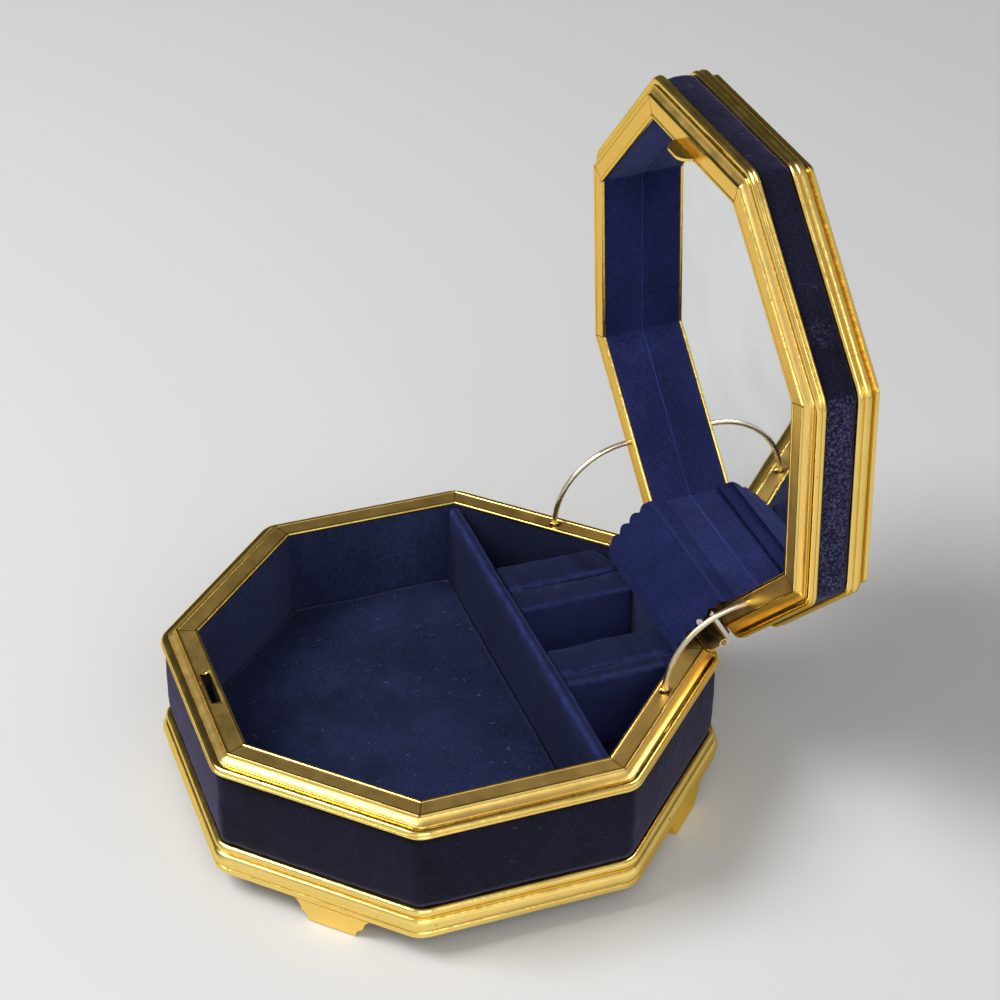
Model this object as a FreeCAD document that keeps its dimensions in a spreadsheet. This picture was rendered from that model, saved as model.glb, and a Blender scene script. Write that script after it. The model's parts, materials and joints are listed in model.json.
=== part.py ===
import FreeCAD, Part
import math
import os
import Sketcher

# Octagonal velvet-covered jewel box with a hinged mirror lid, standing open.
# Frame: origin on the floor under the middle of the open box, X to the right along
# the hinge, Y to the back, Z up. The front edge with the latch slot is at -Y.
# Base pieces are drawn about the middle of the base. Lid pieces are drawn shut,
# about the hinge axis, and their placement swings them open. At the end every
# piece is moved forward together, so that the open box is centred on the origin.

doc = FreeCAD.newDocument("jewel_box")
sheet = doc.addObject("Spreadsheet::Sheet", "Sheet")

SIZES = {
    # heights above the floor, base
    "foot_rise": 7.5,
    "band_low": 18.7,
    "band_top": 46.7,
    "ledge": 52.5,
    "board_low": 13.2,
    "board_top": 16.5,
    "pad_top": 21.0,
    "divider_top": 50.2,
    "tray_top": 19.5,
    "roll_top": 48.6,
    "lining_low": 16.5,
    # distances from the middle to the flats of the octagon
    "lip": 73.0,
    "lining": 73.2,
    "core_in": 74.2,
    "ridge": 80.0,
    "core_out": 82.2,
    "velvet": 83.9,
    "bead": 85.2,
    "plinth": 86.2,
    # thicknesses and radii
    "skin": 1.2,
    "bead_radius": 1.5,
    "velvet_corner": 4.5,
    "bead_turn": 8.5,
    "plinth_turn": 6.0,
    "divider_front": 28.2,
    "divider_back": 32.2,
    # hinge and lid, lid heights counted from the ledge
    "hinge_back": 87.0,
    "lid_angle": 87.5,
    "gap": 0.35,
    "lid_rim": 5.8,
    "lid_band_top": 15.8,
    "lid_flange": 23.6,
    "mirror_face": 15.0,
    "mirror_back": 17.0,
    "lid_board_top": 20.4,
    "lid_pad_crown": 26.4,
    "flange_out": 82.0,
    "knuckle": 1.65,
    "pin": 0.8,
    "barrel_half": 33.0,
    # stays, latch and feet
    "stay_x": 49.0,
    "stay_arm": 27.9,
    "stay_wire": 1.9,
    "stay_hole": 3.4,
    "slot_half": 7.8,
    "tongue_half": 7.0,
    "tongue_drop": 6.2,
    "latch_line": 76.6,
    "foot_half_top": 13.1,
    "foot_half_low": 8.2,
    "foot_shift_front": 5.0,
    "foot_shift_back": 9.0,
    # rings and flap
    "rolls_left": 36.4,
    "rolls_left_seam": 22.4,
    "trough_left": 10.4,
    "trough_right": 12.0,
    "rolls_right_seam": 25.8,
    "rolls_right": 31.4,
    "roll_front": 32.7,
    "roll_back": 71.2,
    "flap_half": 31.0,
    "flap_thick": 0.8,
    # how far the base stands in front of the middle of the open box
    "forward": 12.61,
}
for row, (alias, size) in enumerate(SIZES.items(), start=1):
    sheet.set("A%d" % row, alias)
    sheet.set("B%d" % row, "%g" % size)
    sheet.setAlias("B%d" % row, alias)
doc.recompute()

V = FreeCAD.Vector
EIGHTH = math.pi / 4
TAN = math.tan(EIGHTH / 2)
COS = math.cos(EIGHTH / 2)


def number(text):
    """Value of a sum such as 'ledge - skin - 0.4' of sheet names and numbers."""
    total = 0.0
    sign = 1.0
    for word in str(text).split():
        if word in "+-":
            sign = 1.0 if word == "+" else -1.0
            continue
        total += sign * (SIZES[word] if word in SIZES else float(word))
        sign = 1.0
    return total


def bound(text):
    """The same sum as an expression on the sheet, for a constraint."""
    words = []
    for word in str(text).split():
        words.append("Sheet." + word if word in SIZES else word)
    return " ".join(words)


def new_body(label):
    body = doc.addObject("PartDesign::Body", label)
    body.Label = label
    return body


def plane_of(body, role):
    return [f for f in body.Origin.OriginFeatures if f.Role == role][0]


def new_sketch(body, name, role="XY_Plane", offset=None):
    sketch = body.newObject("Sketcher::SketchObject", body.Label + "_" + name)
    sketch.AttachmentSupport = [(plane_of(body, role), "")]
    sketch.MapMode = "FlatFace"
    if offset is not None:
        sketch.AttachmentOffset = FreeCAD.Placement(V(0, 0, number(offset)), FreeCAD.Rotation())
        sketch.setExpression("AttachmentOffset.Base.z", bound(offset))
    return sketch


def fix(sketch, kind, geo, pos, expression):
    """Ties one coordinate of a sketch point to a sum on the sheet."""
    value = number(expression)
    index = sketch.addConstraint(Sketcher.Constraint(kind, -1, 1, geo, pos, value))
    sketch.setExpression("Constraints[%d]" % index, bound(expression))


def octagon(sketch, apothem, middle="0"):
    """A regular octagon, flat side to the front, its middle on the Y axis."""
    radius = number(apothem) / COS
    centre = V(0, number(middle), 0)
    ring = sketch.addGeometry(Part.Circle(centre, V(0, 0, 1), radius), True)
    corners = []
    for k in range(8):
        turn = EIGHTH * (k + 0.5)
        corners.append(centre + V(math.cos(turn), math.sin(turn), 0) * radius)
    sides = []
    for k in range(8):
        sides.append(sketch.addGeometry(Part.LineSegment(corners[k], corners[(k + 1) % 8])))
    for k in range(8):
        sketch.addConstraint(Sketcher.Constraint("Coincident", sides[k], 2, sides[(k + 1) % 8], 1))
        sketch.addConstraint(Sketcher.Constraint("PointOnObject", sides[k], 1, ring))
        if k:
            sketch.addConstraint(Sketcher.Constraint("Equal", sides[0], sides[k]))
    sketch.addConstraint(Sketcher.Constraint("Horizontal", sides[1]))
    sketch.addConstraint(Sketcher.Constraint("PointOnObject", ring, 3, -2))
    if middle == "0":
        sketch.addConstraint(Sketcher.Constraint("PointOnObject", ring, 3, -1))
    else:
        fix(sketch, "DistanceY", ring, 3, middle)
    index = sketch.addConstraint(Sketcher.Constraint("Radius", ring, radius))
    sketch.setExpression("Constraints[%d]" % index, "(%s) / cos(22.5)" % bound(apothem))
    return sides


def outline(sketch, points):
    """A closed outline of (x, y) sums.

    A third item is the radius of the arc that arrives at the point: swelling out if
    positive, hollow if negative.
    """
    spots = [V(number(p[0]), number(p[1]), 0) for p in points]
    area = 0.0
    for k, spot in enumerate(spots):
        area += spots[k - 1].x * spot.y - spot.x * spots[k - 1].y
    ids = []
    for k, point in enumerate(points):
        start = spots[k - 1]
        end = spots[k]
        if len(point) == 2:
            ids.append((sketch.addGeometry(Part.LineSegment(start, end)), 1, 2))
            continue
        radius = number(point[2])
        chord = end - start
        half = chord.Length / 2
        away = V(chord.y, -chord.x, 0).normalize()
        swell = 1 if (radius > 0) == (area > 0) else -1
        depth = math.sqrt(radius * radius - half * half)
        centre = (start + end) * 0.5 - away * swell * depth
        turns = []
        for spot in (start, end) if swell > 0 else (end, start):
            turns.append(math.atan2(spot.y - centre.y, spot.x - centre.x))
        if turns[1] < turns[0]:
            turns[1] += 2 * math.pi
        circle = Part.Circle(centre, V(0, 0, 1), abs(radius))
        index = sketch.addGeometry(Part.ArcOfCircle(circle, turns[0], turns[1]))
        ends = (1, 2) if swell > 0 else (2, 1)
        ids.append((index,) + ends)
        turn = sketch.addConstraint(Sketcher.Constraint("Radius", index, abs(radius)))
        sketch.setExpression("Constraints[%d]" % turn, "abs(%s)" % bound(point[2]))
    for k, point in enumerate(points):
        here = ids[k]
        after = ids[(k + 1) % len(points)]
        sketch.addConstraint(Sketcher.Constraint("Coincident", here[0], here[2], after[0], after[1]))
        for kind, text in (("DistanceX", point[0]), ("DistanceY", point[1])):
            if abs(number(text)) < 1e-9:
                axis = -2 if kind == "DistanceX" else -1
                sketch.addConstraint(Sketcher.Constraint("PointOnObject", here[0], here[2], axis))
            else:
                fix(sketch, kind, here[0], here[2], text)


def pad(body, sketch, length, name="Pad", reverse=False, both=False):
    feature = body.newObject("PartDesign::Pad", body.Label + "_" + name)
    feature.Profile = sketch
    feature.Length = number(length)
    feature.setExpression("Length", bound(length))
    feature.Reversed = reverse
    if both:
        feature.SideType = "Symmetric"
    return feature


def pocket(body, sketch, length, name, reverse=False, both=False):
    """Cuts a sketch away and makes sure that something was removed."""
    doc.recompute()
    before = body.Shape.Volume
    feature = body.newObject("PartDesign::Pocket", body.Label + "_" + name)
    feature.Profile = sketch
    feature.Length = number(length)
    feature.setExpression("Length", bound(length))
    feature.Reversed = reverse
    if both:
        feature.SideType = "Symmetric"
    doc.recompute()
    if body.Shape.Volume >= before - 1e-6:
        feature.Reversed = not reverse
        doc.recompute()
    return feature


def octagon_plate(label, apothem, low, high, middle="0"):
    body = new_body(label)
    sketch = new_sketch(body, "outline", offset=low)
    octagon(sketch, apothem, middle)
    pad(body, sketch, high + minus(low))
    return body


def minus(text):
    """The sum with every sign turned, ready to be added."""
    swapped = []
    sign = "-"
    for word in str(text).split():
        if word in "+-":
            sign = "-" if word == "+" else "+"
            continue
        swapped += [sign, word]
    return " " + " ".join(swapped)


def octagon_ring(label, outer, inner, low, high, middle="0"):
    body = new_body(label)
    sketch = new_sketch(body, "outline", offset=low)
    octagon(sketch, outer, middle)
    octagon(sketch, inner, middle)
    pad(body, sketch, high + minus(low))
    return body


def moulding(label, points, middle="0", level="ledge"):
    """A profile of (distance to the flat, height) carried around the octagon with mitred corners."""
    body = new_body(label)
    path = new_sketch(body, "path", offset=level)
    reach = "ridge"
    radius = number(reach) / COS
    half = number(reach) * TAN
    front = number(middle) - number(reach)
    ring = path.addGeometry(Part.Circle(V(0, number(middle), 0), V(0, 0, 1), radius), True)
    corners = [V(0, front, 0)]
    for k in range(8):
        turn = EIGHTH * (k + 0.5) - math.pi / 2
        corners.append(V(0, number(middle), 0) + V(math.cos(turn), math.sin(turn), 0) * radius)
    sides = []
    for k in range(9):
        sides.append(path.addGeometry(Part.LineSegment(corners[k], corners[(k + 1) % 9])))
    for k in range(9):
        path.addConstraint(Sketcher.Constraint("Coincident", sides[k], 2, sides[(k + 1) % 9], 1))
        if k:
            path.addConstraint(Sketcher.Constraint("PointOnObject", sides[k], 1, ring))
        if k > 1 and k < 8:
            path.addConstraint(Sketcher.Constraint("Equal", sides[1], sides[k]))
    path.addConstraint(Sketcher.Constraint("Horizontal", sides[0]))
    path.addConstraint(Sketcher.Constraint("PointOnObject", sides[0], 1, -2))
    path.addConstraint(Sketcher.Constraint("PointOnObject", ring, 3, -2))
    path.addConstraint(Sketcher.Constraint("Horizontal", sides[8]))
    if middle == "0":
        path.addConstraint(Sketcher.Constraint("PointOnObject", ring, 3, -1))
    else:
        fix(path, "DistanceY", ring, 3, middle)
    index = path.addConstraint(Sketcher.Constraint("Radius", ring, radius))
    path.setExpression("Constraints[%d]" % index, "Sheet.%s / cos(22.5)" % reach)
    section = new_sketch(body, "profile", "YZ_Plane")
    placed = []
    for point in points:
        place = (middle + minus(point[0])).strip() if middle != "0" else minus(point[0]).strip()
        placed.append((place, point[1]) + tuple(point[2:]))
    outline(section, placed)
    doc.recompute()
    pipe = body.newObject("PartDesign::AdditivePipe", label + "_sweep")
    pipe.Profile = section
    pipe.Spine = (path, [])
    pipe.Transition = "Right corner"
    pipe.Mode = "Standard"
    doc.recompute()
    return body


def round_edges(body, radius, choose):
    """Rounds the edges of the last feature that the chooser picks."""
    doc.recompute()
    names = []
    for k, edge in enumerate(body.Tip.Shape.Edges, start=1):
        if choose(edge):
            names.append("Edge%d" % k)
    last = body.Tip
    feature = body.newObject("PartDesign::Fillet", body.Label + "_Round")
    feature.Base = (last, names)
    feature.Radius = number(radius)
    feature.setExpression("Radius", bound(radius))
    doc.recompute()
    return feature


def upright(edge):
    a = edge.Vertexes[0].Point
    b = edge.Vertexes[-1].Point
    return abs(a.x - b.x) < 1e-4 and abs(a.y - b.y) < 1e-4 and abs(a.z - b.z) > 0.5


def upright_outside(edge):
    spot = edge.Vertexes[0].Point
    reach = math.hypot(spot.x, spot.y - body_middle)
    return upright(edge) and reach > number("core_out + 0.5") / COS


def soften_corners(body, reach, radius, low, high, middle="0"):
    """Keeps what lies inside an upright octagon with rounded corners."""
    outer = octagon_plate(body.Label + "_outer", reach, low, high, middle)
    round_edges(outer, radius, upright)
    shared = body.newObject("PartDesign::Boolean", body.Label + "_soft_corners")
    shared.setObjects([outer])
    shared.Type = "Common"
    doc.recompute()


base_nodes = []
lid_nodes = []

# The gilt rim of the base: rolled lip, flat ledge, raised ridge, hollow band and a
# double outer bead. The beads turn the corners in a curve, the ledge in a mitre.
base_rim = moulding("base_rim", [
    ("lip", "ledge - 3"),
    ("lip", "ledge - 0.55"),
    ("lip + 0.55", "ledge", "0.6"),
    ("lip + 1", "ledge"),
    ("lip + 1.3", "ledge - 0.3"),
    ("ridge - 1", "ledge - 0.3"),
    ("ridge - 0.7", "ledge"),
    ("ridge - 0.1", "ledge"),
    ("ridge", "ledge - 0.7"),
    ("ridge + 2.6", "ledge - 2.3", "- 4.5"),
    ("ridge + 2.6", "ledge - 2.8"),
    ("ridge + 3.2", "ledge - 2.8"),
    ("bead - 0.15", "ledge - 4", "bead_radius"),
    ("bead - 0.5", "ledge - 4.25"),
    ("bead", "ledge - 4.9", "0.8"),
    ("velvet", "ledge - 5.8", "1.3"),
    ("core_out", "ledge - 5.8"),
    ("core_out", "ledge - 3.4"),
    ("ridge - 0.5", "ledge - 1.3"),
    ("core_in", "ledge - 1.3"),
    ("core_in", "ledge - 3"),
])
slot = new_sketch(base_rim, "latch_slot", offset="ledge")
outline(slot, [
    ("0 - slot_half", "0 - latch_line - 1.5"),
    ("slot_half", "0 - latch_line - 1.5"),
    ("slot_half", "0 - latch_line + 1.5"),
    ("0 - slot_half", "0 - latch_line + 1.5"),
])
pocket(base_rim, slot, "4", "latch_slot_cut")
holes = new_sketch(base_rim, "stay_holes", offset="ledge")
for side in (-1, 1):
    spot = V(side * number("stay_x"), number("hinge_back - stay_arm"), 0)
    ring = holes.addGeometry(Part.Circle(spot, V(0, 0, 1), number("stay_hole") / 2))
    fix(holes, "DistanceX", ring, 3, "stay_x" if side > 0 else "0 - stay_x")
    fix(holes, "DistanceY", ring, 3, "hinge_back - stay_arm")
    size = holes.addConstraint(Sketcher.Constraint("Diameter", ring, number("stay_hole")))
    holes.setExpression("Constraints[%d]" % size, "Sheet.stay_hole")
pocket(base_rim, holes, "4", "stay_holes_cut")
soften_corners(base_rim, "bead + 0.02", "bead_turn", "ledge - 7", "ledge + 1")
base_nodes.append(base_rim)

# The stiff wall behind the velvet, bevelled to sit under the rim.
base_wall = moulding("base_wall", [
    ("core_in", "foot_rise + 1.5"),
    ("core_out", "foot_rise + 1.5"),
    ("core_out", "ledge - 3.4"),
    ("ridge - 0.5", "ledge - 1.3"),
    ("core_in", "ledge - 1.3"),
])
well = new_sketch(base_wall, "latch_well", offset="ledge")
outline(well, [
    ("0 - slot_half - 1", "0 - latch_line - 2.2"),
    ("slot_half + 1", "0 - latch_line - 2.2"),
    ("slot_half + 1", "0 - latch_line + 2"),
    ("0 - slot_half - 1", "0 - latch_line + 2"),
])
pocket(base_wall, well, "11", "latch_well_cut")
wells = new_sketch(base_wall, "stay_wells", offset="ledge")
for side in (-1, 1):
    spot = V(side * number("stay_x"), number("hinge_back - stay_arm"), 0)
    ring = wells.addGeometry(Part.Circle(spot, V(0, 0, 1), number("stay_hole") / 2))
    fix(wells, "DistanceX", ring, 3, "stay_x" if side > 0 else "0 - stay_x")
    fix(wells, "DistanceY", ring, 3, "hinge_back - stay_arm")
    size = wells.addConstraint(Sketcher.Constraint("Diameter", ring, number("stay_hole")))
    wells.setExpression("Constraints[%d]" % size, "Sheet.stay_hole")
pocket(base_wall, wells, "6", "stay_wells_cut")
base_nodes.append(base_wall)

# Velvet on the outside of the wall, its corners softly rounded.
body_middle = 0.0
base_velvet = octagon_ring("base_velvet", "velvet", "core_out", "band_low", "band_top")
round_edges(base_velvet, "velvet_corner", upright_outside)
base_nodes.append(base_velvet)

# Velvet lining on the inside of the wall.
base_lining = octagon_ring("base_lining", "core_in", "lining", "lining_low", "ledge - 3")
base_nodes.append(base_lining)

# The gilt plinth: top bead, groove, broad band, fine line and lower lip.
base_plinth = moulding("base_plinth", [
    ("core_out", "foot_rise"),
    ("plinth - 0.9", "foot_rise"),
    ("plinth - 0.3", "foot_rise + 0.6"),
    ("plinth - 0.3", "foot_rise + 2.2"),
    ("plinth - 0.8", "foot_rise + 2.6"),
    ("plinth - 0.1", "foot_rise + 3.2"),
    ("plinth - 0.7", "band_low - 3.7", "3.4"),
    ("plinth - 1.6", "band_low - 3.3"),
    ("plinth - 1.6", "band_low - 2.9"),
    ("plinth - 1", "band_low - 2.6"),
    ("velvet + 0.1", "band_low", "1.6"),
    ("core_out", "band_low"),
])
soften_corners(base_plinth, "plinth + 0.45", "plinth_turn", "foot_rise - 1", "band_low + 1")
base_nodes.append(base_plinth)

# Bottom board inside the wall, with a thin paper cover under it.
base_board = octagon_plate("base_board", "core_in", "board_low", "board_top")
base_nodes.append(base_board)
base_paper = octagon_plate("base_paper", "core_in - 0.6", "board_low - 0.6", "board_low")
base_nodes.append(base_paper)

# One bracket foot: two coves stepped in at each end, on one slanting side.
FEET = (
    ("foot_front_right", -45, "foot_shift_front"),
    ("foot_back_right", 45, "foot_shift_back"),
    ("foot_back_left", 135, "foot_shift_front"),
    ("foot_front_left", 225, "foot_shift_back"),
)
for label, turn, shift in FEET:
    foot = new_body(label)
    face = new_sketch(foot, "face", "YZ_Plane", offset="plinth - 4.6")
    outline(face, [
        ("0 - foot_half_top + " + shift, "foot_rise"),
        ("0 - foot_half_top + 2.2 + " + shift, "foot_rise - 3.7", "- 4.6"),
        ("0 - foot_half_low - 2 + " + shift, "foot_rise - 4.4"),
        ("0 - foot_half_low + " + shift, "0", "- 3.6"),
        ("foot_half_low + " + shift, "0"),
        ("foot_half_low + 2 + " + shift, "foot_rise - 4.4", "- 3.6"),
        ("foot_half_top - 2.2 + " + shift, "foot_rise - 3.7"),
        ("foot_half_top + " + shift, "foot_rise", "- 4.6"),
    ])
    pad(foot, face, "4.0")
    foot.Placement = FreeCAD.Placement(V(0, 0, 0), FreeCAD.Rotation(V(0, 0, 1), turn))
    base_nodes.append(foot)

# The velvet-covered floor card of the front room, cut straight along the partition.
floor_pad = octagon_plate("floor_pad", "lining - 0.5", "board_top", "pad_top")
cut = new_sketch(floor_pad, "back_cut", offset="pad_top")
outline(cut, [
    ("0 - bead", "divider_front - 0.4"),
    ("bead", "divider_front - 0.4"),
    ("bead", "bead"),
    ("0 - bead", "bead"),
])
pocket(floor_pad, cut, "10", "back_cut_away")
round_edges(floor_pad, "skin", lambda e: e.BoundBox.ZMin > number("pad_top") - 1e-4)
base_nodes.append(floor_pad)

# The partition between the two rooms, its top edge rounded.
divider = octagon_plate("divider", "lip", "board_top", "divider_top")
for name, near, far in (
    ("front", "0 - bead", "divider_front"),
    ("back", "divider_back", "bead"),
):
    cut = new_sketch(divider, name + "_cut", offset="divider_top")
    outline(cut, [("0 - bead", near), ("bead", near), ("bead", far), ("0 - bead", far)])
    pocket(divider, cut, "60", name + "_cut_away")
round_edges(divider, "1.6", lambda e: e.BoundBox.ZMin > number("divider_top") - 1e-4
            and e.BoundBox.XLength > 100)
base_nodes.append(divider)

# The padded tray of the back room.
ring_tray = octagon_plate("ring_tray", "lining - 0.4", "board_top", "tray_top")
cut = new_sketch(ring_tray, "front_cut", offset="tray_top")
outline(cut, [
    ("0 - bead", "0 - bead"),
    ("bead", "0 - bead"),
    ("bead", "divider_back + 0.3"),
    ("0 - bead", "divider_back + 0.3"),
])
pocket(ring_tray, cut, "10", "front_cut_away")
base_nodes.append(ring_tray)

# Four ring rolls in two pairs, the last one narrow: crowned tops and drawn-in sides,
# pressed side by side.
ROLLS = (
    ("ring_roll_1", "0 - rolls_left", "0 - rolls_left_seam - 0.4"),
    ("ring_roll_2", "0 - rolls_left_seam + 0.4", "0 - trough_left"),
    ("ring_roll_3", "trough_right", "rolls_right_seam - 0.4"),
    ("ring_roll_4", "rolls_right_seam + 0.4", "rolls_right"),
)
for label, left, right in ROLLS:
    roll = new_body(label)
    face = new_sketch(roll, "section", "XZ_Plane")
    outline(face, [
        (right + " - 0.5", "tray_top"),
        (right, "tray_top + 9", "90"),
        (right + " - 0.4", "roll_top - 1.9", "90"),
        (right + " - 2.1", "roll_top - 0.35", "1.9"),
        (left + " + 2.1", "roll_top - 0.35", "24"),
        (left + " + 0.4", "roll_top - 1.9", "1.9"),
        (left, "tray_top + 9", "90"),
        (left + " + 0.5", "tray_top", "90"),
    ])
    feature = pad(roll, face, "roll_back - roll_front")
    doc.recompute()
    if roll.Shape.BoundBox.YMax < 1:
        feature.Reversed = True
        doc.recompute()
    roll.Placement = FreeCAD.Placement(V(0, number("roll_front"), 0), FreeCAD.Rotation())
    roll.setExpression("Placement.Base.y", "Sheet.roll_front")
    outer = max(abs(number(left)), abs(number(right)))
    inner = min(abs(number(left)), abs(number(right)))
    side = 1 if number(left) > 0 else -1
    slant = number("lining") * math.sqrt(2) - number("roll_front") - 0.8
    if slant - outer < number("roll_back - roll_front"):
        trim = new_sketch(roll, "end_trim", offset="roll_top + 4")
        corner = [V(side * (outer + 1), slant - outer - 1, 0), V(side * (outer + 1), 60, 0),
                  V(side * (inner - 1), 60, 0), V(side * (inner - 1), slant - inner + 1, 0)]
        for k in range(4):
            trim.addGeometry(Part.LineSegment(corner[k], corner[(k + 1) % 4]))
        pocket(roll, trim, "60", "end_trim_cut")
    base_nodes.append(roll)

# Hinge: barrel axis behind the rim, half a gap above the ledge.
AXIS = V(0, number("hinge_back"), number("ledge") + number("gap") / 2)
KNUCKLES = 5
STEP = 2 * number("barrel_half") / KNUCKLES


def hinge_half(label, first, lift):
    """One leaf with every second knuckle; lift is -1 for the base, +1 for the lid."""
    body = new_body(label)
    section = new_sketch(body, "leaf", "YZ_Plane")
    face = [
        ("ridge + 0.9 - hinge_back", 1.45),
        ("ridge + 2.9 - hinge_back", 2.35),
        ("bead + 0.5 - hinge_back", 1.05),
        ("bead + 0.5 - hinge_back", 0.45),
        ("ridge + 2.9 - hinge_back", 1.75),
        ("ridge + 0.9 - hinge_back", 0.85),
    ]
    outline(section, [(across, "%.3f" % (lift * height)) for across, height in face])
    pad(body, section, "barrel_half + barrel_half", both=True)
    gaps = new_sketch(body, "gaps", "XY_Plane", offset="3")
    for k in range(KNUCKLES):
        if k % 2 == first:
            continue
        left = -number("barrel_half") + k * STEP - 0.2
        right = left + STEP + 0.4
        near = number("ridge + 3.6 - hinge_back")
        corner = [V(left, near, 0), V(right, near, 0), V(right, 3, 0), V(left, 3, 0)]
        for i in range(4):
            gaps.addGeometry(Part.LineSegment(corner[i], corner[(i + 1) % 4]))
    pocket(body, gaps, "6", "gaps_cut")
    barrel = new_sketch(body, "knuckles", "YZ_Plane")
    for size in ("knuckle", "pin + 0.1"):
        ring = barrel.addGeometry(Part.Circle(V(0, 0, 0), V(0, 0, 1), number(size)))
        barrel.addConstraint(Sketcher.Constraint("Coincident", ring, 3, -1, 1))
        turn = barrel.addConstraint(Sketcher.Constraint("Radius", ring, number(size)))
        barrel.setExpression("Constraints[%d]" % turn, bound(size))
    count = (KNUCKLES + 1 - first) // 2
    barrel.AttachmentOffset = FreeCAD.Placement(
        V(0, 0, -number("barrel_half") + first * STEP + 0.15), FreeCAD.Rotation())
    knuckle = pad(body, barrel, "%.4f" % (STEP - 0.3), name="Knuckle")
    doc.recompute()
    row = body.newObject("PartDesign::LinearPattern", label + "_row")
    row.Originals = [knuckle]
    row.Direction = (barrel, ["N_Axis"])
    row.Length = 2 * STEP * (count - 1)
    row.Occurrences = count
    body.Tip = row
    doc.recompute()
    return body


hinge_base_leaf = hinge_half("hinge_base_leaf", 0, -1)
hinge_base_leaf.Placement = FreeCAD.Placement(AXIS, FreeCAD.Rotation())
base_nodes.append(hinge_base_leaf)
hinge_lid_leaf = hinge_half("hinge_lid_leaf", 1, 1)
lid_nodes.append(hinge_lid_leaf)
hinge_pin = doc.addObject("Part::Cylinder", "hinge_pin")
hinge_pin.Label = "hinge_pin"
hinge_pin.setExpression("Radius", "Sheet.pin")
hinge_pin.setExpression("Height", "Sheet.barrel_half * 2 + 0.6")
hinge_pin.Placement = FreeCAD.Placement(
    AXIS - V(number("barrel_half") + 0.3, 0, 0), FreeCAD.Rotation(V(0, 1, 0), 90))
base_nodes.append(hinge_pin)

# Lid pieces, drawn about the hinge axis with the lid shut.
MID = "0 - hinge_back"
UP = "gap"
HALF_GAP = number("gap") / 2
SIZES["half_gap"] = HALF_GAP
sheet.set("A99", "half_gap")
sheet.set("B99", "%g" % HALF_GAP)
sheet.setAlias("B99", "half_gap")
doc.recompute()

lid_rim = moulding("lid_rim", [
    ("lip", "half_gap + 3"),
    ("lip", "half_gap + 0.55"),
    ("lip + 0.55", "half_gap", "0.6"),
    ("lip + 1", "half_gap"),
    ("lip + 1.3", "half_gap + 0.3"),
    ("ridge - 1", "half_gap + 0.3"),
    ("ridge - 0.7", "half_gap"),
    ("ridge - 0.1", "half_gap"),
    ("ridge", "half_gap + 0.7"),
    ("ridge + 2.6", "half_gap + 2.3", "- 4.5"),
    ("ridge + 2.6", "half_gap + 2.8"),
    ("ridge + 3.2", "half_gap + 2.8"),
    ("bead - 0.15", "half_gap + 4", "bead_radius"),
    ("bead - 0.5", "half_gap + 4.25"),
    ("bead", "half_gap + 4.9", "0.8"),
    ("velvet", "half_gap + 5.8", "1.3"),
    ("core_out", "half_gap + 5.8"),
    ("core_out", "half_gap + 3.4"),
    ("ridge - 0.5", "half_gap + 1.3"),
    ("core_in", "half_gap + 1.3"),
    ("core_in", "half_gap + 3"),
], MID, "half_gap")
root = new_sketch(lid_rim, "tongue_root", offset="half_gap + 2")
outline(root, [
    ("0 - tongue_half", "0 - hinge_back - latch_line - 0.5"),
    ("tongue_half", "0 - hinge_back - latch_line - 0.5"),
    ("tongue_half", "0 - hinge_back - latch_line + 0.5"),
    ("0 - tongue_half", "0 - hinge_back - latch_line + 0.5"),
])
pocket(lid_rim, root, "4", "tongue_root_cut")
holes = new_sketch(lid_rim, "stay_holes", offset="half_gap + 2")
for side in (-1, 1):
    ring = holes.addGeometry(
        Part.Circle(V(side * number("stay_x"), -number("stay_arm"), 0), V(0, 0, 1), 1.2))
    fix(holes, "DistanceX", ring, 3, "stay_x" if side > 0 else "0 - stay_x")
    fix(holes, "DistanceY", ring, 3, "0 - stay_arm")
    size = holes.addConstraint(Sketcher.Constraint("Diameter", ring, 2.4))
    holes.setExpression("Constraints[%d]" % size, "Sheet.stay_wire + 0.5")
pocket(lid_rim, holes, "4", "stay_holes_cut")
soften_corners(lid_rim, "bead + 0.02", "bead_turn", "half_gap - 1", "half_gap + 7", MID)
lid_nodes.append(lid_rim)

lid_wall = moulding("lid_wall", [
    ("core_in", "lid_board_top"),
    ("core_out", "lid_board_top"),
    ("core_out", "half_gap + 3.4"),
    ("ridge - 0.5", "half_gap + 1.3"),
    ("core_in", "half_gap + 1.3"),
], MID, "half_gap")
root = new_sketch(lid_wall, "tongue_root", offset="half_gap + 5")
outline(root, [
    ("0 - tongue_half - 0.2", "0 - hinge_back - latch_line - 0.7"),
    ("tongue_half + 0.2", "0 - hinge_back - latch_line - 0.7"),
    ("tongue_half + 0.2", "0 - hinge_back - latch_line + 0.7"),
    ("0 - tongue_half - 0.2", "0 - hinge_back - latch_line + 0.7"),
])
pocket(lid_wall, root, "6", "tongue_root_cut")
holes = new_sketch(lid_wall, "stay_sockets", offset="half_gap + 4.5")
for side in (-1, 1):
    ring = holes.addGeometry(
        Part.Circle(V(side * number("stay_x"), -number("stay_arm"), 0), V(0, 0, 1), 1.4))
    fix(holes, "DistanceX", ring, 3, "stay_x" if side > 0 else "0 - stay_x")
    fix(holes, "DistanceY", ring, 3, "0 - stay_arm")
    size = holes.addConstraint(Sketcher.Constraint("Diameter", ring, 2.8))
    holes.setExpression("Constraints[%d]" % size, "Sheet.stay_wire + 0.9")
pocket(lid_wall, holes, "8", "stay_sockets_cut")
lid_nodes.append(lid_wall)

body_middle = -number("hinge_back")
lid_velvet = octagon_ring("lid_velvet", "velvet - 0.4", "core_out", "half_gap + lid_rim",
                          "half_gap + lid_band_top", MID)
round_edges(lid_velvet, "velvet_corner", upright_outside)
lid_nodes.append(lid_velvet)

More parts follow.
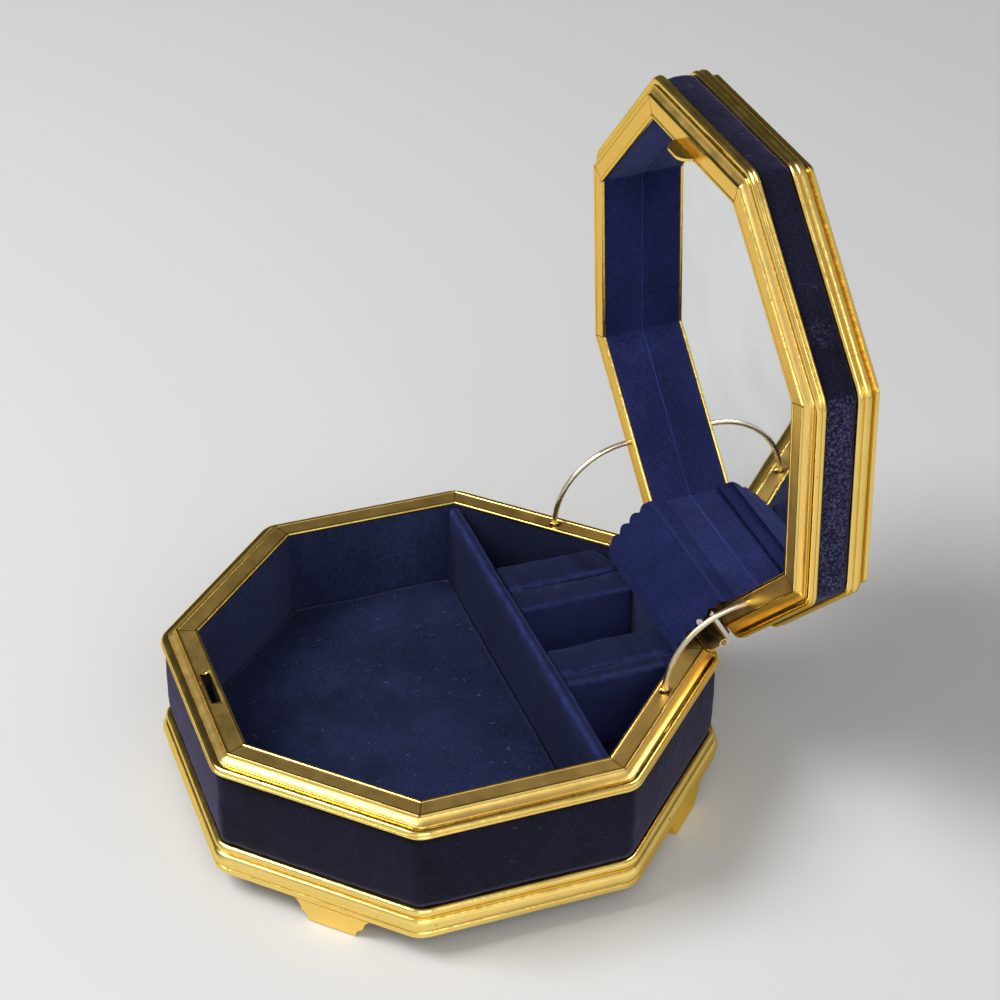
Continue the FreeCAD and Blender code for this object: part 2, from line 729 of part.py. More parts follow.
lid_lining = octagon_ring("lid_lining", "core_in", "lining", "half_gap + 3",
                          "half_gap + mirror_face", MID)
lid_nodes.append(lid_lining)

# The gilt top moulding: fine bead, groove, broad bead, cove and flat flange.
lid_crown = moulding("lid_crown", [
    ("core_out", "half_gap + lid_band_top"),
    ("velvet - 0.2", "half_gap + lid_band_top"),
    ("velvet + 0.3", "half_gap + lid_band_top + 1.7", "1.1"),
    ("velvet - 0.3", "half_gap + lid_band_top + 1.9"),
    ("velvet + 0.2", "half_gap + lid_band_top + 2.3"),
    ("velvet - 0.4", "half_gap + lid_band_top + 4.7", "1.6"),
    ("flange_out - 0.6", "half_gap + lid_flange - 1.4", "- 3.4"),
    ("flange_out", "half_gap + lid_flange - 1.2"),
    ("flange_out", "half_gap + lid_flange"),
    ("core_in", "half_gap + lid_flange"),
    ("core_in", "lid_board_top"),
    ("core_out", "lid_board_top"),
], MID, "half_gap")
soften_corners(lid_crown, "velvet + 0.54", "bead_turn", "half_gap + lid_band_top - 1",
               "half_gap + lid_flange + 1", MID)
lid_nodes.append(lid_crown)

mirror = octagon_plate("mirror", "core_in", "half_gap + mirror_face", "half_gap + mirror_back", MID)
lid_nodes.append(mirror)
lid_board = octagon_plate("lid_board", "core_in", "half_gap + mirror_back", "lid_board_top", MID)
lid_nodes.append(lid_board)

# The padded velvet top inside the top moulding: an octagonal dome.
lid_pad = new_body("lid_top_pad")
DOME = (
    ("core_in - 0.4", "lid_board_top", "lid_flange", 0),
    ("core_in - 0.4", "lid_flange", "lid_flange + 1.4", 64),
    ("core_in - 3.4", "lid_flange + 1.4", "lid_flange + 2.3", 85.5),
    ("core_in - 14.8", "lid_flange + 2.3", "lid_pad_crown", 88.2),
)
for k, (reach, low, high, slope) in enumerate(DOME):
    layer = new_sketch(lid_pad, "layer_%d" % k, offset=low)
    octagon(layer, reach, MID)
    step = pad(lid_pad, layer, high + " + " + minus(low), name="Layer%d" % k)
    step.TaperAngle = -slope
lid_nodes.append(lid_pad)

# The latch tongue, a rounded sheet tab that drops into the slot.
latch_tongue = new_body("latch_tongue")
face = new_sketch(latch_tongue, "face", "XZ_Plane")
outline(face, [
    ("0 - tongue_half + 0.1", "half_gap + 4.4"),
    ("0 - tongue_half + 0.1", "half_gap - 1.6"),
    ("0 - tongue_half + 4.4", "half_gap - tongue_drop", "5"),
    ("tongue_half - 4.4", "half_gap - tongue_drop"),
    ("tongue_half - 0.1", "half_gap - 1.6", "5"),
    ("tongue_half - 0.1", "half_gap + 4.4"),
])
pad(latch_tongue, face, "0.9", both=True)
SHIFT = V(0, -number("hinge_back") - number("latch_line"), 0)
lid_nodes.append(latch_tongue)

OPEN = FreeCAD.Placement(AXIS, FreeCAD.Rotation(V(1, 0, 0), -number("lid_angle")))
for body in lid_nodes:
    body.Placement = OPEN
    body.setExpression("Placement.Base.y", "Sheet.hinge_back")
    body.setExpression("Placement.Base.z", "Sheet.ledge + Sheet.half_gap")
latch_tongue.setExpression("Placement.Base.y", None)
latch_tongue.setExpression("Placement.Base.z", None)
latch_tongue.Placement = OPEN.multiply(FreeCAD.Placement(SHIFT, FreeCAD.Rotation()))

# Stays: spring wire bent to an arc about the hinge axis, from the base holes to the lid.
# The section is a twelve-sided wire drawn inside a guide circle of the wire's size.
WIRE_SIDES = 12
for label, side in (("stay_left", -1), ("stay_right", 1)):
    stay = new_body(label)
    section = new_sketch(stay, "section", "XY_Plane")
    centre = V(side * number("stay_x"), -number("stay_arm"), 0)
    half = number("stay_wire") / 2
    guide = section.addGeometry(Part.Circle(centre, V(0, 0, 1), half), True)
    fix(section, "DistanceX", guide, 3, "stay_x" if side > 0 else "0 - stay_x")
    fix(section, "DistanceY", guide, 3, "0 - stay_arm")
    size = section.addConstraint(Sketcher.Constraint("Diameter", guide, number("stay_wire")))
    section.setExpression("Constraints[%d]" % size, "Sheet.stay_wire")
    corners = []
    for k in range(WIRE_SIDES):
        turn = 2 * math.pi * k / WIRE_SIDES
        corners.append(centre + V(half * math.cos(turn), half * math.sin(turn), 0))
    sides = []
    for k in range(WIRE_SIDES):
        flat = Part.LineSegment(corners[k], corners[(k + 1) % WIRE_SIDES])
        sides.append(section.addGeometry(flat))
    for k in range(WIRE_SIDES):
        following = sides[(k + 1) % WIRE_SIDES]
        section.addConstraint(Sketcher.Constraint("Coincident", sides[k], 2, following, 1))
        section.addConstraint(Sketcher.Constraint("PointOnObject", sides[k], 2, guide))
        if k:
            section.addConstraint(Sketcher.Constraint("Equal", sides[0], sides[k]))
    bend = stay.newObject("PartDesign::Revolution", label + "_bend")
    bend.Profile = section
    bend.ReferenceAxis = (section, ["H_Axis"])
    bend.Angle = number("lid_angle") + 13
    bend.setExpression("Angle", "Sheet.lid_angle + 13")
    doc.recompute()
    if stay.Shape.BoundBox.ZMax < 10:
        bend.Reversed = True
        doc.recompute()
    stay.Placement = FreeCAD.Placement(AXIS, FreeCAD.Rotation(V(1, 0, 0), 6))
    lid_nodes.append(stay)

# The velvet flap that covers the hinge: tucked behind both lips, sagging between them,
# with pinked ends.
flap = new_body("hinge_cover")
SPAN = number("flap_thick")
low_in = V(0, number("lip") - 0.5, number("ledge") - 5)
low_top = V(0, number("lip") - 0.5, number("ledge") + 1.3)
swing = FreeCAD.Rotation(V(1, 0, 0), -number("lid_angle"))


def opened(across, height):
    """A point of the shut lid, given from the ledge, carried to the open lid."""
    return AXIS + swing.multVec(V(0, across - number("hinge_back"), height - HALF_GAP))


high_top = opened(number("lip") - 0.5, number("gap") - 1.3)
high_in = opened(number("lip") - 0.5, number("gap") + 5)
middle = (low_top + high_top) * 0.5 + V(0, 1.0, -1.0)
face = new_sketch(flap, "section", "YZ_Plane")
near = [V(p.y, p.z, 0) for p in (low_in, low_top, high_top, high_in)]
mid = V(middle.y, middle.z, 0)
off = [V(-SPAN, 0, 0), V(-SPAN, 0.35, 0), V(-0.35, SPAN, 0), V(0, SPAN, 0)]
far = [near[k] + off[k] for k in range(4)]
mid_far = mid + V(-SPAN * 0.7, SPAN * 0.7, 0)
face.addGeometry(Part.LineSegment(near[0], near[1]))
face.addGeometry(Part.Arc(near[1], mid, near[2]))
face.addGeometry(Part.LineSegment(near[2], near[3]))
face.addGeometry(Part.LineSegment(near[3], far[3]))
face.addGeometry(Part.LineSegment(far[3], far[2]))
face.addGeometry(Part.Arc(far[2], mid_far, far[1]))
face.addGeometry(Part.LineSegment(far[1], far[0]))
face.addGeometry(Part.LineSegment(far[0], near[0]))
pad(flap, face, "flap_half + flap_half", both=True)
TEETH = 5
teeth = new_sketch(flap, "pinking", "XY_Plane", offset="ledge + 24")
edge_y = [number("lip") - 2.5, number("hinge_back") + 3.5]
for side in (-1, 1):
    zigzag = []
    for k in range(2 * TEETH + 1):
        share = k / (2 * TEETH)
        depth = number("flap_half") - (1.7 if k % 2 else 0.2)
        zigzag.append(V(side * depth, edge_y[0] + share * (edge_y[1] - edge_y[0]), 0))
    out = number("flap_half") + 2
    zigzag.append(V(side * out, edge_y[1], 0))
    zigzag.append(V(side * out, edge_y[0], 0))
    for k in range(len(zigzag)):
        teeth.addGeometry(Part.LineSegment(zigzag[k], zigzag[(k + 1) % len(zigzag)]))
pocket(flap, teeth, "24.4", "pinking_cut")
lid_nodes.append(flap)

doc.recompute()

# The whole box moves forward until its open outline is centred on the origin.
everything = base_nodes + lid_nodes
ON_AXIS = ["hinge_base_leaf", "hinge_pin", "stay_left", "stay_right"]
ON_AXIS += [node.Label for node in lid_nodes if node not in (latch_tongue, flap)]
for node in everything:
    home = "%.4f" % node.Placement.Base.y
    if node.Label in ON_AXIS:
        home = "Sheet.hinge_back"
    if node.Label.startswith("ring_roll"):
        home = "Sheet.roll_front"
    node.setExpression("Placement.Base.y", home + " - Sheet.forward")
doc.recompute()
front_end = min(node.Shape.BoundBox.YMin for node in everything)
back_end = max(node.Shape.BoundBox.YMax for node in everything)
print("outline off the origin by %.3f mm front to back" % ((front_end + back_end) / 2))

os.makedirs("parts", exist_ok=True)
for node in everything:
    bad = [word for word in node.State if word in ("Invalid", "Error")]
    if bad or node.Shape.isNull() or not node.Shape.isValid():
        raise RuntimeError("%s is not sound: %s" % (node.Label, node.State))
    if len(node.Shape.Solids) != 1:
        raise RuntimeError("%s has %d solids" % (node.Label, len(node.Shape.Solids)))
    node.Shape.exportStep("parts/%s.step" % node.Label)
    box = node.Shape.BoundBox
    print("%-18s volume %9.1f mm3  x %7.2f %7.2f  y %7.2f %7.2f  z %7.2f %7.2f" % (
        node.Label, node.Shape.Volume, box.XMin, box.XMax, box.YMin, box.YMax, box.ZMin, box.ZMax))
print("%d pieces written" % len(everything))
print("hinge axis at y %.3f mm, z %.3f mm" % (AXIS.y - number("forward"), AXIS.z))
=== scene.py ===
# %% [markdown]
# This lesson dresses an octagonal velvet jewel box that stands open. The CAD
# model is the fixed frame: every rigid solid is already in place, in metres.
# The lesson adds what solids can't show: pile, padding, worn gilding and light.
# The frame is loaded first.

# %% Load the frame
import bmesh
import bpy
import json
import math
from mathutils import Matrix, Quaternion, Vector, noise


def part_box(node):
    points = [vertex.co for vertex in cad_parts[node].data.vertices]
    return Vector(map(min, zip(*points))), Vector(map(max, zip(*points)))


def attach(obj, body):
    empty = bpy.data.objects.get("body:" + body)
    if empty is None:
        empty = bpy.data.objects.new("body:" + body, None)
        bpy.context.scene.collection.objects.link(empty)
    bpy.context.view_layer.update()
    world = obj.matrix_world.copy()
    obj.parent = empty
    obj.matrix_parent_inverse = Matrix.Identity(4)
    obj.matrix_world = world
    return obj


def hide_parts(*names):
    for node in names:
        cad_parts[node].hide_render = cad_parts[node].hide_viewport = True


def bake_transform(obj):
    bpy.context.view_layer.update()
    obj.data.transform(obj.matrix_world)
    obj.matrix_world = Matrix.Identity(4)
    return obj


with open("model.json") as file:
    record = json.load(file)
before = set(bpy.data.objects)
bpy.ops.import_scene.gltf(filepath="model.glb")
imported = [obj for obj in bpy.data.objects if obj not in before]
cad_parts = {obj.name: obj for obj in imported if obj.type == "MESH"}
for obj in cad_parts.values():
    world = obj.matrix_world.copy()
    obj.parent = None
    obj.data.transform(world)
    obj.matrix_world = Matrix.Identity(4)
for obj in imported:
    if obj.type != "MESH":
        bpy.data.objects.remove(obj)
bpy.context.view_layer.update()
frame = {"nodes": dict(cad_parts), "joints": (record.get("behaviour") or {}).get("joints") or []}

nodes = frame["nodes"]

# %% [markdown]
# The camera stands to the right and in front of the box, looking down at about
# 34 degrees. It could be set by eye, but a fit of the octagon's corners gives the
# place and the lens at which mouldings and mirror overlap as they should.

# %% Camera
camera_data = bpy.data.cameras.new("camera")
camera = bpy.data.objects.new("camera", camera_data)
bpy.context.scene.collection.objects.link(camera)
camera_data.sensor_width = 36.0
camera_data.lens = 88.43
camera_data.clip_end = 50.0
CAMERA_AZIMUTH = math.radians(69.787)
CAMERA_ELEVATION = math.radians(34.358)
CAMERA_ROLL = math.radians(0.636)
CAMERA_PLACE = (0.60363, -0.21418, 0.54247)
look = Vector((
    -math.sin(CAMERA_AZIMUTH) * math.cos(CAMERA_ELEVATION),
    math.cos(CAMERA_AZIMUTH) * math.cos(CAMERA_ELEVATION),
    -math.sin(CAMERA_ELEVATION),
))
turn = look.to_track_quat("-Z", "Y") @ Quaternion((0, 0, 1), CAMERA_ROLL)
camera.matrix_world = Matrix.Translation(CAMERA_PLACE) @ turn.to_matrix().to_4x4()
bpy.context.scene.camera = camera
print("camera at", [round(v, 3) for v in camera.location])

# %% [markdown]
# A pale floor carries the box. It could be a curved backdrop, but the camera looks
# down, so that one large square fills its view. A few helpers come first and serve
# every finish: a material, a node with its values, a grey and a colour ramp.

# %% Floor
scene = bpy.context.scene
scene.view_settings.view_transform = "Standard"


def new_material(name):
    """A node material, its node tree and its Principled shader."""
    material = bpy.data.materials.new(name)
    material.use_nodes = True
    tree = material.node_tree
    shader = tree.nodes["Principled BSDF"]
    return material, tree, shader


def add_node(tree, kind, **values):
    """A shader node with its properties and input defaults set by name."""
    node = tree.nodes.new(kind)
    for key, value in values.items():
        if key in node.inputs:
            node.inputs[key].default_value = value
        else:
            setattr(node, key, value)
    return node


def grey(value):
    """A colour with that value in each channel."""
    return (value,) * 3


def ramp(tree, source, stops):
    """A colour ramp fed by source, with (place, colour) stops."""
    node = tree.nodes.new("ShaderNodeValToRGB")
    tree.links.new(source, node.inputs[0])
    band = node.color_ramp.elements
    while len(band) < len(stops):
        band.new(0.5)
    for element, (place, colour) in zip(band, stops):
        element.position = place
        element.color = colour if len(colour) == 4 else (*colour, 1)
    return node.outputs[0]


REACH = 6.0             # m, half the side of the floor
FLOOR_DROP = 0.0004     # m, the floor lies this far below the feet
floor_mesh = bpy.data.meshes.new("floor")
floor_mesh.from_pydata(
    [(-REACH, -REACH, 0), (REACH, -REACH, 0), (REACH, REACH, 0), (-REACH, REACH, 0)],
    [], [(0, 1, 2, 3)])
floor = bpy.data.objects.new("floor", floor_mesh)
scene.collection.objects.link(floor)
floor.location.z = -FLOOR_DROP
floor_paint, tree, shader = new_material("floor_paint")
shader.inputs["Base Color"].default_value = (0.70, 0.70, 0.70, 1)
shader.inputs["Roughness"].default_value = 0.75
floor_mesh.materials.append(floor_paint)
print("floor of %g m" % (2 * REACH))

# %% [markdown]
# Gilding shows only what it mirrors, so the light is what makes it read as metal:
# one broad softbox from the left, and a weaker one behind the camera. Small lamps
# would leave hard spots on the mouldings.

# %% Softboxes
def softbox(name, place, aim, size, power):
    """A square area light that looks at a point."""
    lamp = bpy.data.lights.new(name, "AREA")
    lamp.size = size
    lamp.energy = power
    thing = bpy.data.objects.new(name, lamp)
    thing.location = place
    thing.rotation_euler = (Vector(aim) - Vector(place)).to_track_quat("-Z", "Y").to_euler()
    scene.collection.objects.link(thing)


softbox("key_light", place=(-0.25, -1.10, 1.40), aim=(0, 0, 0.05), size=0.9, power=26)
softbox("fill_light", place=(1.5, -0.2, 1.3), aim=(0, 0, 0.08), size=1.1, power=9)
print("two softboxes")

# %% [markdown]
# The world is dark towards the far side, so that the gilding has something dark to
# mirror. It could be a dark card, but a gradient has no edges that show in the
# metal. A second gradient dims the world overhead.

# %% World
world = bpy.data.worlds.new("world")
scene.world = world
world.use_nodes = True
tree = world.node_tree
tree.nodes.clear()
place = add_node(tree, "ShaderNodeTexCoord")
split = add_node(tree, "ShaderNodeSeparateXYZ")
tree.links.new(place.outputs["Generated"], split.inputs[0])
shift = add_node(tree, "ShaderNodeMapRange")
shift.inputs["From Min"].default_value = -1
shift.inputs["From Max"].default_value = 1
tree.links.new(split.outputs["X"], shift.inputs["Value"])
DARK_SIDE = (0.10, 0.10, 0.102)
far_side = ramp(tree, shift.outputs[0], [
    (0.0, DARK_SIDE), (0.12, DARK_SIDE), (0.42, grey(0.42)), (0.75, (1.08, 1.08, 1.07)),
])
ceiling = ramp(tree, split.outputs["Z"], [
    (0.0, (1, 1, 1)), (0.30, grey(0.95)), (0.62, grey(0.50)), (1.0, grey(0.55)),
])
room = add_node(tree, "ShaderNodeMix", data_type="RGBA", blend_type="MULTIPLY")
room.inputs["Factor"].default_value = 1.0
tree.links.new(far_side, room.inputs["A"])
tree.links.new(ceiling, room.inputs["B"])
back = add_node(tree, "ShaderNodeBackground")
back.inputs["Strength"].default_value = 0.9
tree.links.new(room.outputs["Result"], back.inputs["Color"])
out = add_node(tree, "ShaderNodeOutputWorld")
tree.links.new(back.outputs[0], out.inputs["Surface"])
print("a world that is dark on the far side")

# %% [markdown]
# Worn metal and velvet are both made of noise, mixes of colour and small bumps.
# They could be node groups, but plain functions keep every step of a finish in
# sight. One of them reads a number that is stored on the points of a mesh.

# %% Finish helpers
def object_coordinates(tree, scale):
    """The piece's own coordinates, stretched by a scale for each axis."""
    place = add_node(tree, "ShaderNodeTexCoord")
    mapping = add_node(tree, "ShaderNodeMapping")
    mapping.inputs["Scale"].default_value = scale
    tree.links.new(place.outputs["Object"], mapping.inputs["Vector"])
    return mapping.outputs[0]


def noise_of(tree, vector, scale, detail=3.0, rough=0.55):
    """A noise between 0 and 1 over a vector."""
    node = add_node(tree, "ShaderNodeTexNoise")
    node.inputs["Scale"].default_value = scale
    node.inputs["Detail"].default_value = detail
    node.inputs["Roughness"].default_value = rough
    tree.links.new(vector, node.inputs["Vector"])
    return node.outputs["Fac"]


def mix_colours(tree, factor, first, second, blend="MIX"):
    """Mixes two colours; each value is a socket, a number or a colour."""
    node = add_node(tree, "ShaderNodeMix", data_type="RGBA")
    node.blend_type = blend
    for socket, value in (("Factor", factor), ("A", first), ("B", second)):
        target = [s for s in node.inputs if s.name == socket and s.enabled][0]
        if isinstance(value, bpy.types.NodeSocket):
            tree.links.new(value, target)
        elif socket == "Factor":
            target.default_value = value
        else:
            target.default_value = (*value, 1)
    return [s for s in node.outputs if s.enabled][0]


def bump_from(tree, shader, heights):
    """Chains bumps: (height socket, strength, distance in metres)."""
    last = None
    for height, strength, distance in heights:
        node = add_node(tree, "ShaderNodeBump")
        node.inputs["Strength"].default_value = strength
        node.inputs["Distance"].default_value = distance
        tree.links.new(height, node.inputs["Height"])
        if last is not None:
            tree.links.new(last, node.inputs["Normal"])
        last = node.outputs[0]
    tree.links.new(last, shader.inputs["Normal"])


def attribute(tree, name):
    """A number stored on the points of a mesh; zero where a mesh has none."""
    node = add_node(tree, "ShaderNodeAttribute", attribute_name=name)
    return node.outputs["Fac"]


BLACK = (0, 0, 0)
WHITE = (1, 1, 1)
EVEN = (1, 1, 1)        # a scale that stretches no axis


def tinted(colour, factors):
    """A colour times a factor for each channel."""
    return tuple(c * f for c, f in zip(colour, factors))


print("helpers for noise, mixes, bumps and numbers on the points")

# %% [markdown]
# The mouldings are thin gilt sheet, worn by handling. An image could be painted
# for them, but noise and a few numbers stored on the points need no unwrapping:
# the numbers say where a flat is satin, where a groove holds grime, where a mitre
# shows and where a ridge is rubbed bright. Noise in the roughness gives handling
# marks, and a long stretched noise the fine scratches on the flats.

# %% Gilt metal
SATIN = 0.40            # roughness of the flats
SATIN_SPREAD = 0.06
RUBBED_GOLD = (1.0, 0.90, 0.55)
SCRATCH_GOLD = (1.0, 0.88, 0.50)


def gilt_colour(tree, plain, light, dark):
    """Patches and freckles, warm flats, grime in grooves and mitres, rubbed ridges."""
    patches = noise_of(tree, plain, 30, 4)
    tone = ramp(tree, patches, [(0.30, dark), (0.58, light)])
    freckle = noise_of(tree, plain, 620, 2, 0.7)
    spots = ramp(tree, freckle, [(0.70, BLACK), (0.76, WHITE)])
    colour = mix_colours(tree, spots, tone, tinted(dark, grey(0.45)))
    warm = tinted(light, (1.0, 0.92, 0.95))
    colour = mix_colours(tree, attribute(tree, "flat"), colour, warm)
    grime = tinted(dark, (0.26, 0.19, 0.16))
    dirt = ramp(tree, attribute(tree, "groove"), [(0.25, BLACK), (0.80, WHITE)])
    colour = mix_colours(tree, dirt, colour, grime)
    joint = ramp(tree, attribute(tree, "mitre"), [(0.40, BLACK), (0.75, grey(0.85))])
    colour = mix_colours(tree, joint, colour, grime)
    glitter = noise_of(tree, plain, 850, 2, 0.6)
    sparkle = ramp(tree, glitter, [(0.52, BLACK), (0.64, grey(0.55))])
    rubbed = ramp(tree, attribute(tree, "ridge"), [(0.35, BLACK), (0.90, WHITE)])
    glint = mix_colours(tree, 1.0, sparkle, rubbed, "MULTIPLY")
    return mix_colours(tree, glint, colour, RUBBED_GOLD)


def scratched(tree, colour):
    """Fine bright lines in two directions, on the flats alone."""
    for stretch in ((1, 0.05, 1), (0.06, 1, 0.3)):
        line = noise_of(tree, object_coordinates(tree, stretch), 1300, 1, 0.5)
        scratch = ramp(tree, line, [(0.70, BLACK), (0.74, grey(0.35))])
        scratch = mix_colours(tree, 1.0, scratch, attribute(tree, "flat"), "MULTIPLY")
        colour = mix_colours(tree, scratch, colour, SCRATCH_GOLD)
    return colour


def gilt_metal(name, light, dark, edge, low_gloss, high_gloss):
    """Worn metal; the two gloss values are the least and greatest roughness."""
    material, tree, shader = new_material(name)
    shader.inputs["Metallic"].default_value = 1.0
    shader.inputs["Specular Tint"].default_value = (*edge, 1)
    plain = object_coordinates(tree, EVEN)
    colour = scratched(tree, gilt_colour(tree, plain, light, dark))
    tree.links.new(colour, shader.inputs["Base Color"])
    handled = noise_of(tree, plain, 130, 5, 0.65)
    gloss = ramp(tree, handled, [(0.3, grey(low_gloss)), (0.7, grey(high_gloss))])
    dull = ramp(tree, handled, [
        (0.3, grey(SATIN - SATIN_SPREAD)), (0.7, grey(SATIN + SATIN_SPREAD))])
    surface = mix_colours(tree, attribute(tree, "flat"), gloss, dull)
    tree.links.new(surface, shader.inputs["Roughness"])
    ripple = noise_of(tree, plain, 90, 2)
    dents = noise_of(tree, plain, 420, 1)
    bump_from(tree, shader, [(ripple, 0.16, 0.0006), (dents, 0.18, 0.0003)])
    return material


gilt = gilt_metal(
    "gilt", (0.97, 0.71, 0.205), (0.88, 0.60, 0.155), (1.0, 0.81, 0.35), 0.12, 0.26)
hinge_brass = gilt_metal(
    "hinge_brass", (0.80, 0.60, 0.26), (0.46, 0.31, 0.12), (0.9, 0.75, 0.4), 0.24, 0.42)
wire_metal = gilt_metal(
    "wire_metal", (0.82, 0.74, 0.56), (0.60, 0.51, 0.34), (0.9, 0.85, 0.70), 0.20, 0.36)
pin_metal = gilt_metal(
    "pin_metal", (0.36, 0.31, 0.23), (0.20, 0.16, 0.11), (0.6, 0.55, 0.45), 0.30, 0.45)
print("gilt, hinge brass, wire metal and pin metal")

# %% [markdown]
# The feet and the latch tongue are gilt, and the hinge is brass round a dark pin.
# They could be modelled again, but their CAD shapes are right, so each keeps its
# shape and gets its finish. A narrow bevel on the gilt ones catches a bright line
# along each edge.

# %% Gilt and brass solids
SHARP_EDGE = math.radians(32)   # edges that bend more than this are rounded
EDGE_ROUNDING = 0.00018         # m


def dress(name, material, bevel=0.0):
    """A CAD node keeps its shape and gets a finish, and a bevel (m) if one is given."""
    thing = nodes[name]
    thing.data.materials.clear()
    thing.data.materials.append(material)
    if bevel:
        rounding = thing.modifiers.new("edge_rounding", "BEVEL")
        rounding.width = bevel
        rounding.segments = 2
        rounding.limit_method = "ANGLE"
        rounding.angle_limit = SHARP_EDGE
        rounding.harden_normals = True


GILT_NODES = [
    "latch_tongue", "foot_front_right", "foot_back_right", "foot_back_left", "foot_front_left",
]
for name in GILT_NODES:
    dress(name, gilt, EDGE_ROUNDING)
for name in ("hinge_base_leaf", "hinge_lid_leaf"):
    dress(name, hinge_brass)
dress("hinge_pin", pin_metal)
print("gilded", len(GILT_NODES), "nodes")

# %% [markdown]
# The mirror is silvered glass. Clear glass over a silver layer would be truer at a
# cut edge, but the frame hides the edge, so a nearly smooth metallic surface will do.
# The wall cores and boards stay hidden behind velvet and get a plain board look,
# a near-black one where a fine gap could show it, as painted shade in the gap.

# %% Mirror and hidden boards
mirror_glass, tree, shader = new_material("mirror_glass")
shader.inputs["Metallic"].default_value = 1.0
plain = object_coordinates(tree, EVEN)
haze = ramp(tree, noise_of(tree, plain, 40, 3), [
    (0.3, (0.80, 0.83, 0.83)), (0.7, (0.90, 0.92, 0.92))])
tree.links.new(haze, shader.inputs["Base Color"])
smear = ramp(tree, noise_of(tree, plain, 25, 4), [
    (0.4, grey(0.015)), (0.75, grey(0.05))])
tree.links.new(smear, shader.inputs["Roughness"])
dress("mirror", mirror_glass)


def board(name, low_tone, high_tone):
    """Plain board with a fibre grain between two tones."""
    material, tree, shader = new_material(name)
    shader.inputs["Roughness"].default_value = 0.8
    plain = object_coordinates(tree, EVEN)
    fibre = ramp(tree, noise_of(tree, plain, 220, 4), [(0.3, low_tone), (0.7, high_tone)])
    tree.links.new(fibre, shader.inputs["Base Color"])
    return material


core_board = board("core_board", (0.24, 0.18, 0.12), (0.38, 0.30, 0.21))
# painted shade: a near-black board stands in for the shade in gaps and in the latch slot
painted_shade_board = board("painted_shade_board", (0.010, 0.009, 0.010), (0.022, 0.020, 0.020))
dress("lid_board", core_board)
for name in ("base_wall", "base_board", "lid_wall"):
    dress(name, painted_shade_board)
print("mirror and boards done")

# %% [markdown]
# Velvet is dark when you look into the pile and pale along the pile, so its
# sheen does the work: a dark blue body, a sheen of lighter blue, wide strokes
# where the pile was brushed, a fine grain, and a few threads of lint. Hair strands
# would be truer close up, but the pile is far finer than one pixel here. Numbers
# on the points paint shade on a wall that lies in shade and on the tops of the rolls,
# and pale an edge that is worn; they also paint light down the rolls' flanks and a
# highlight along the lid's glass. Pale tips on the side towards +X are painted sheen.

# %% Velvet
# the colour of pale pile tips: painted sheen on the side towards +X, scuffs elsewhere
SHEEN_AND_TIP_BLUE = (0.085, 0.085, 0.20)


def tips_and_painted_sheen(tree, plain, amount):
    """Pale pile tips: painted sheen on the side towards +X, and scuffs on the others."""
    upright_pile = noise_of(tree, plain, 1250, 3, 0.75)
    tips = ramp(tree, upright_pile, [(0.47, BLACK), (0.66, grey(amount))])
    facing = add_node(tree, "ShaderNodeSeparateXYZ")
    upright = add_node(tree, "ShaderNodeTexCoord").outputs["Normal"]
    tree.links.new(upright, facing.inputs[0])
    # painted sheen: faces towards +X get the pale tips in full
    side = ramp(tree, facing.outputs["X"], [(0.80, grey(0.10)), (0.96, WHITE)])
    rubs = noise_of(tree, plain, 60, 4, 0.7)
    scuffs = ramp(tree, rubs, [(0.56, BLACK), (0.70, grey(0.5))])
    where = mix_colours(tree, 1.0, side, scuffs, "ADD")
    return mix_colours(tree, 1.0, tips, where, "MULTIPLY")


def linted(tree, colour, brushed, lint):
    """Pale threads of lint in two directions."""
    thread = tuple(0.06 + 2.0 * c for c in brushed)
    for stretch in ((1, 0.30, 1), (0.30, 1, 1)):
        fluff = noise_of(tree, object_coordinates(tree, stretch), 900, 2, 0.5)
        specks = ramp(tree, fluff, [(lint, BLACK), (lint + 0.045, grey(0.7))])
        colour = mix_colours(tree, specks, colour, thread)
    return colour


def velvet(name, deep, brushed, sheen, sheen_weight, lint, sheen_speckle=0.0):
    """Velvet pile; a lower lint gives more threads, speckle paints pale tips as sheen on +X."""
    material, tree, shader = new_material(name)
    plain = object_coordinates(tree, EVEN)
    streak = object_coordinates(tree, (1, 1, 0.45))
    strokes = ramp(tree, noise_of(tree, streak, 38, 5, 0.62), [
        (0.34, deep), (0.70, brushed)])
    pile = noise_of(tree, plain, 1100, 3, 0.7)
    grain = ramp(tree, pile, [(0.30, grey(0.45)), (0.72, grey(1.35))])
    colour = mix_colours(tree, 1.0, strokes, grain, "MULTIPLY")
    # painted shade: the shade number darkens the walls behind the partition and the tops of the
    # rolls
    painted_shade_colour = tinted(deep, grey(0.3))
    colour = mix_colours(tree, attribute(tree, "shade"), colour, painted_shade_colour)
    # the wear number pales worn edges, and also paints light down the rolls' flanks and a
    # highlight along the lid's glass
    pale_wear_and_light = tinted(brushed, grey(3.4))
    colour = mix_colours(tree, attribute(tree, "wear_and_painted_light"), colour, pale_wear_and_light)
    # pale pile tips, painted sheen on the side towards +X
    if sheen_speckle:
        colour = mix_colours(tree, tips_and_painted_sheen(tree, plain, sheen_speckle), colour, SHEEN_AND_TIP_BLUE)
    colour = linted(tree, colour, brushed, lint)
    tree.links.new(colour, shader.inputs["Base Color"])
    shader.inputs["Roughness"].default_value = 0.85
    shader.inputs["Specular IOR Level"].default_value = 0.12
    shader.inputs["Sheen Weight"].default_value = sheen_weight
    shader.inputs["Sheen Roughness"].default_value = 0.38
    shader.inputs["Sheen Tint"].default_value = (*sheen, 1)
    wave = noise_of(tree, plain, 160, 3)
    bump_from(tree, shader, [(wave, 0.35, 0.0006), (pile, 0.55, 0.0004)])
    return material


print("velvet with brushed strokes, grain, worn edges and lint")
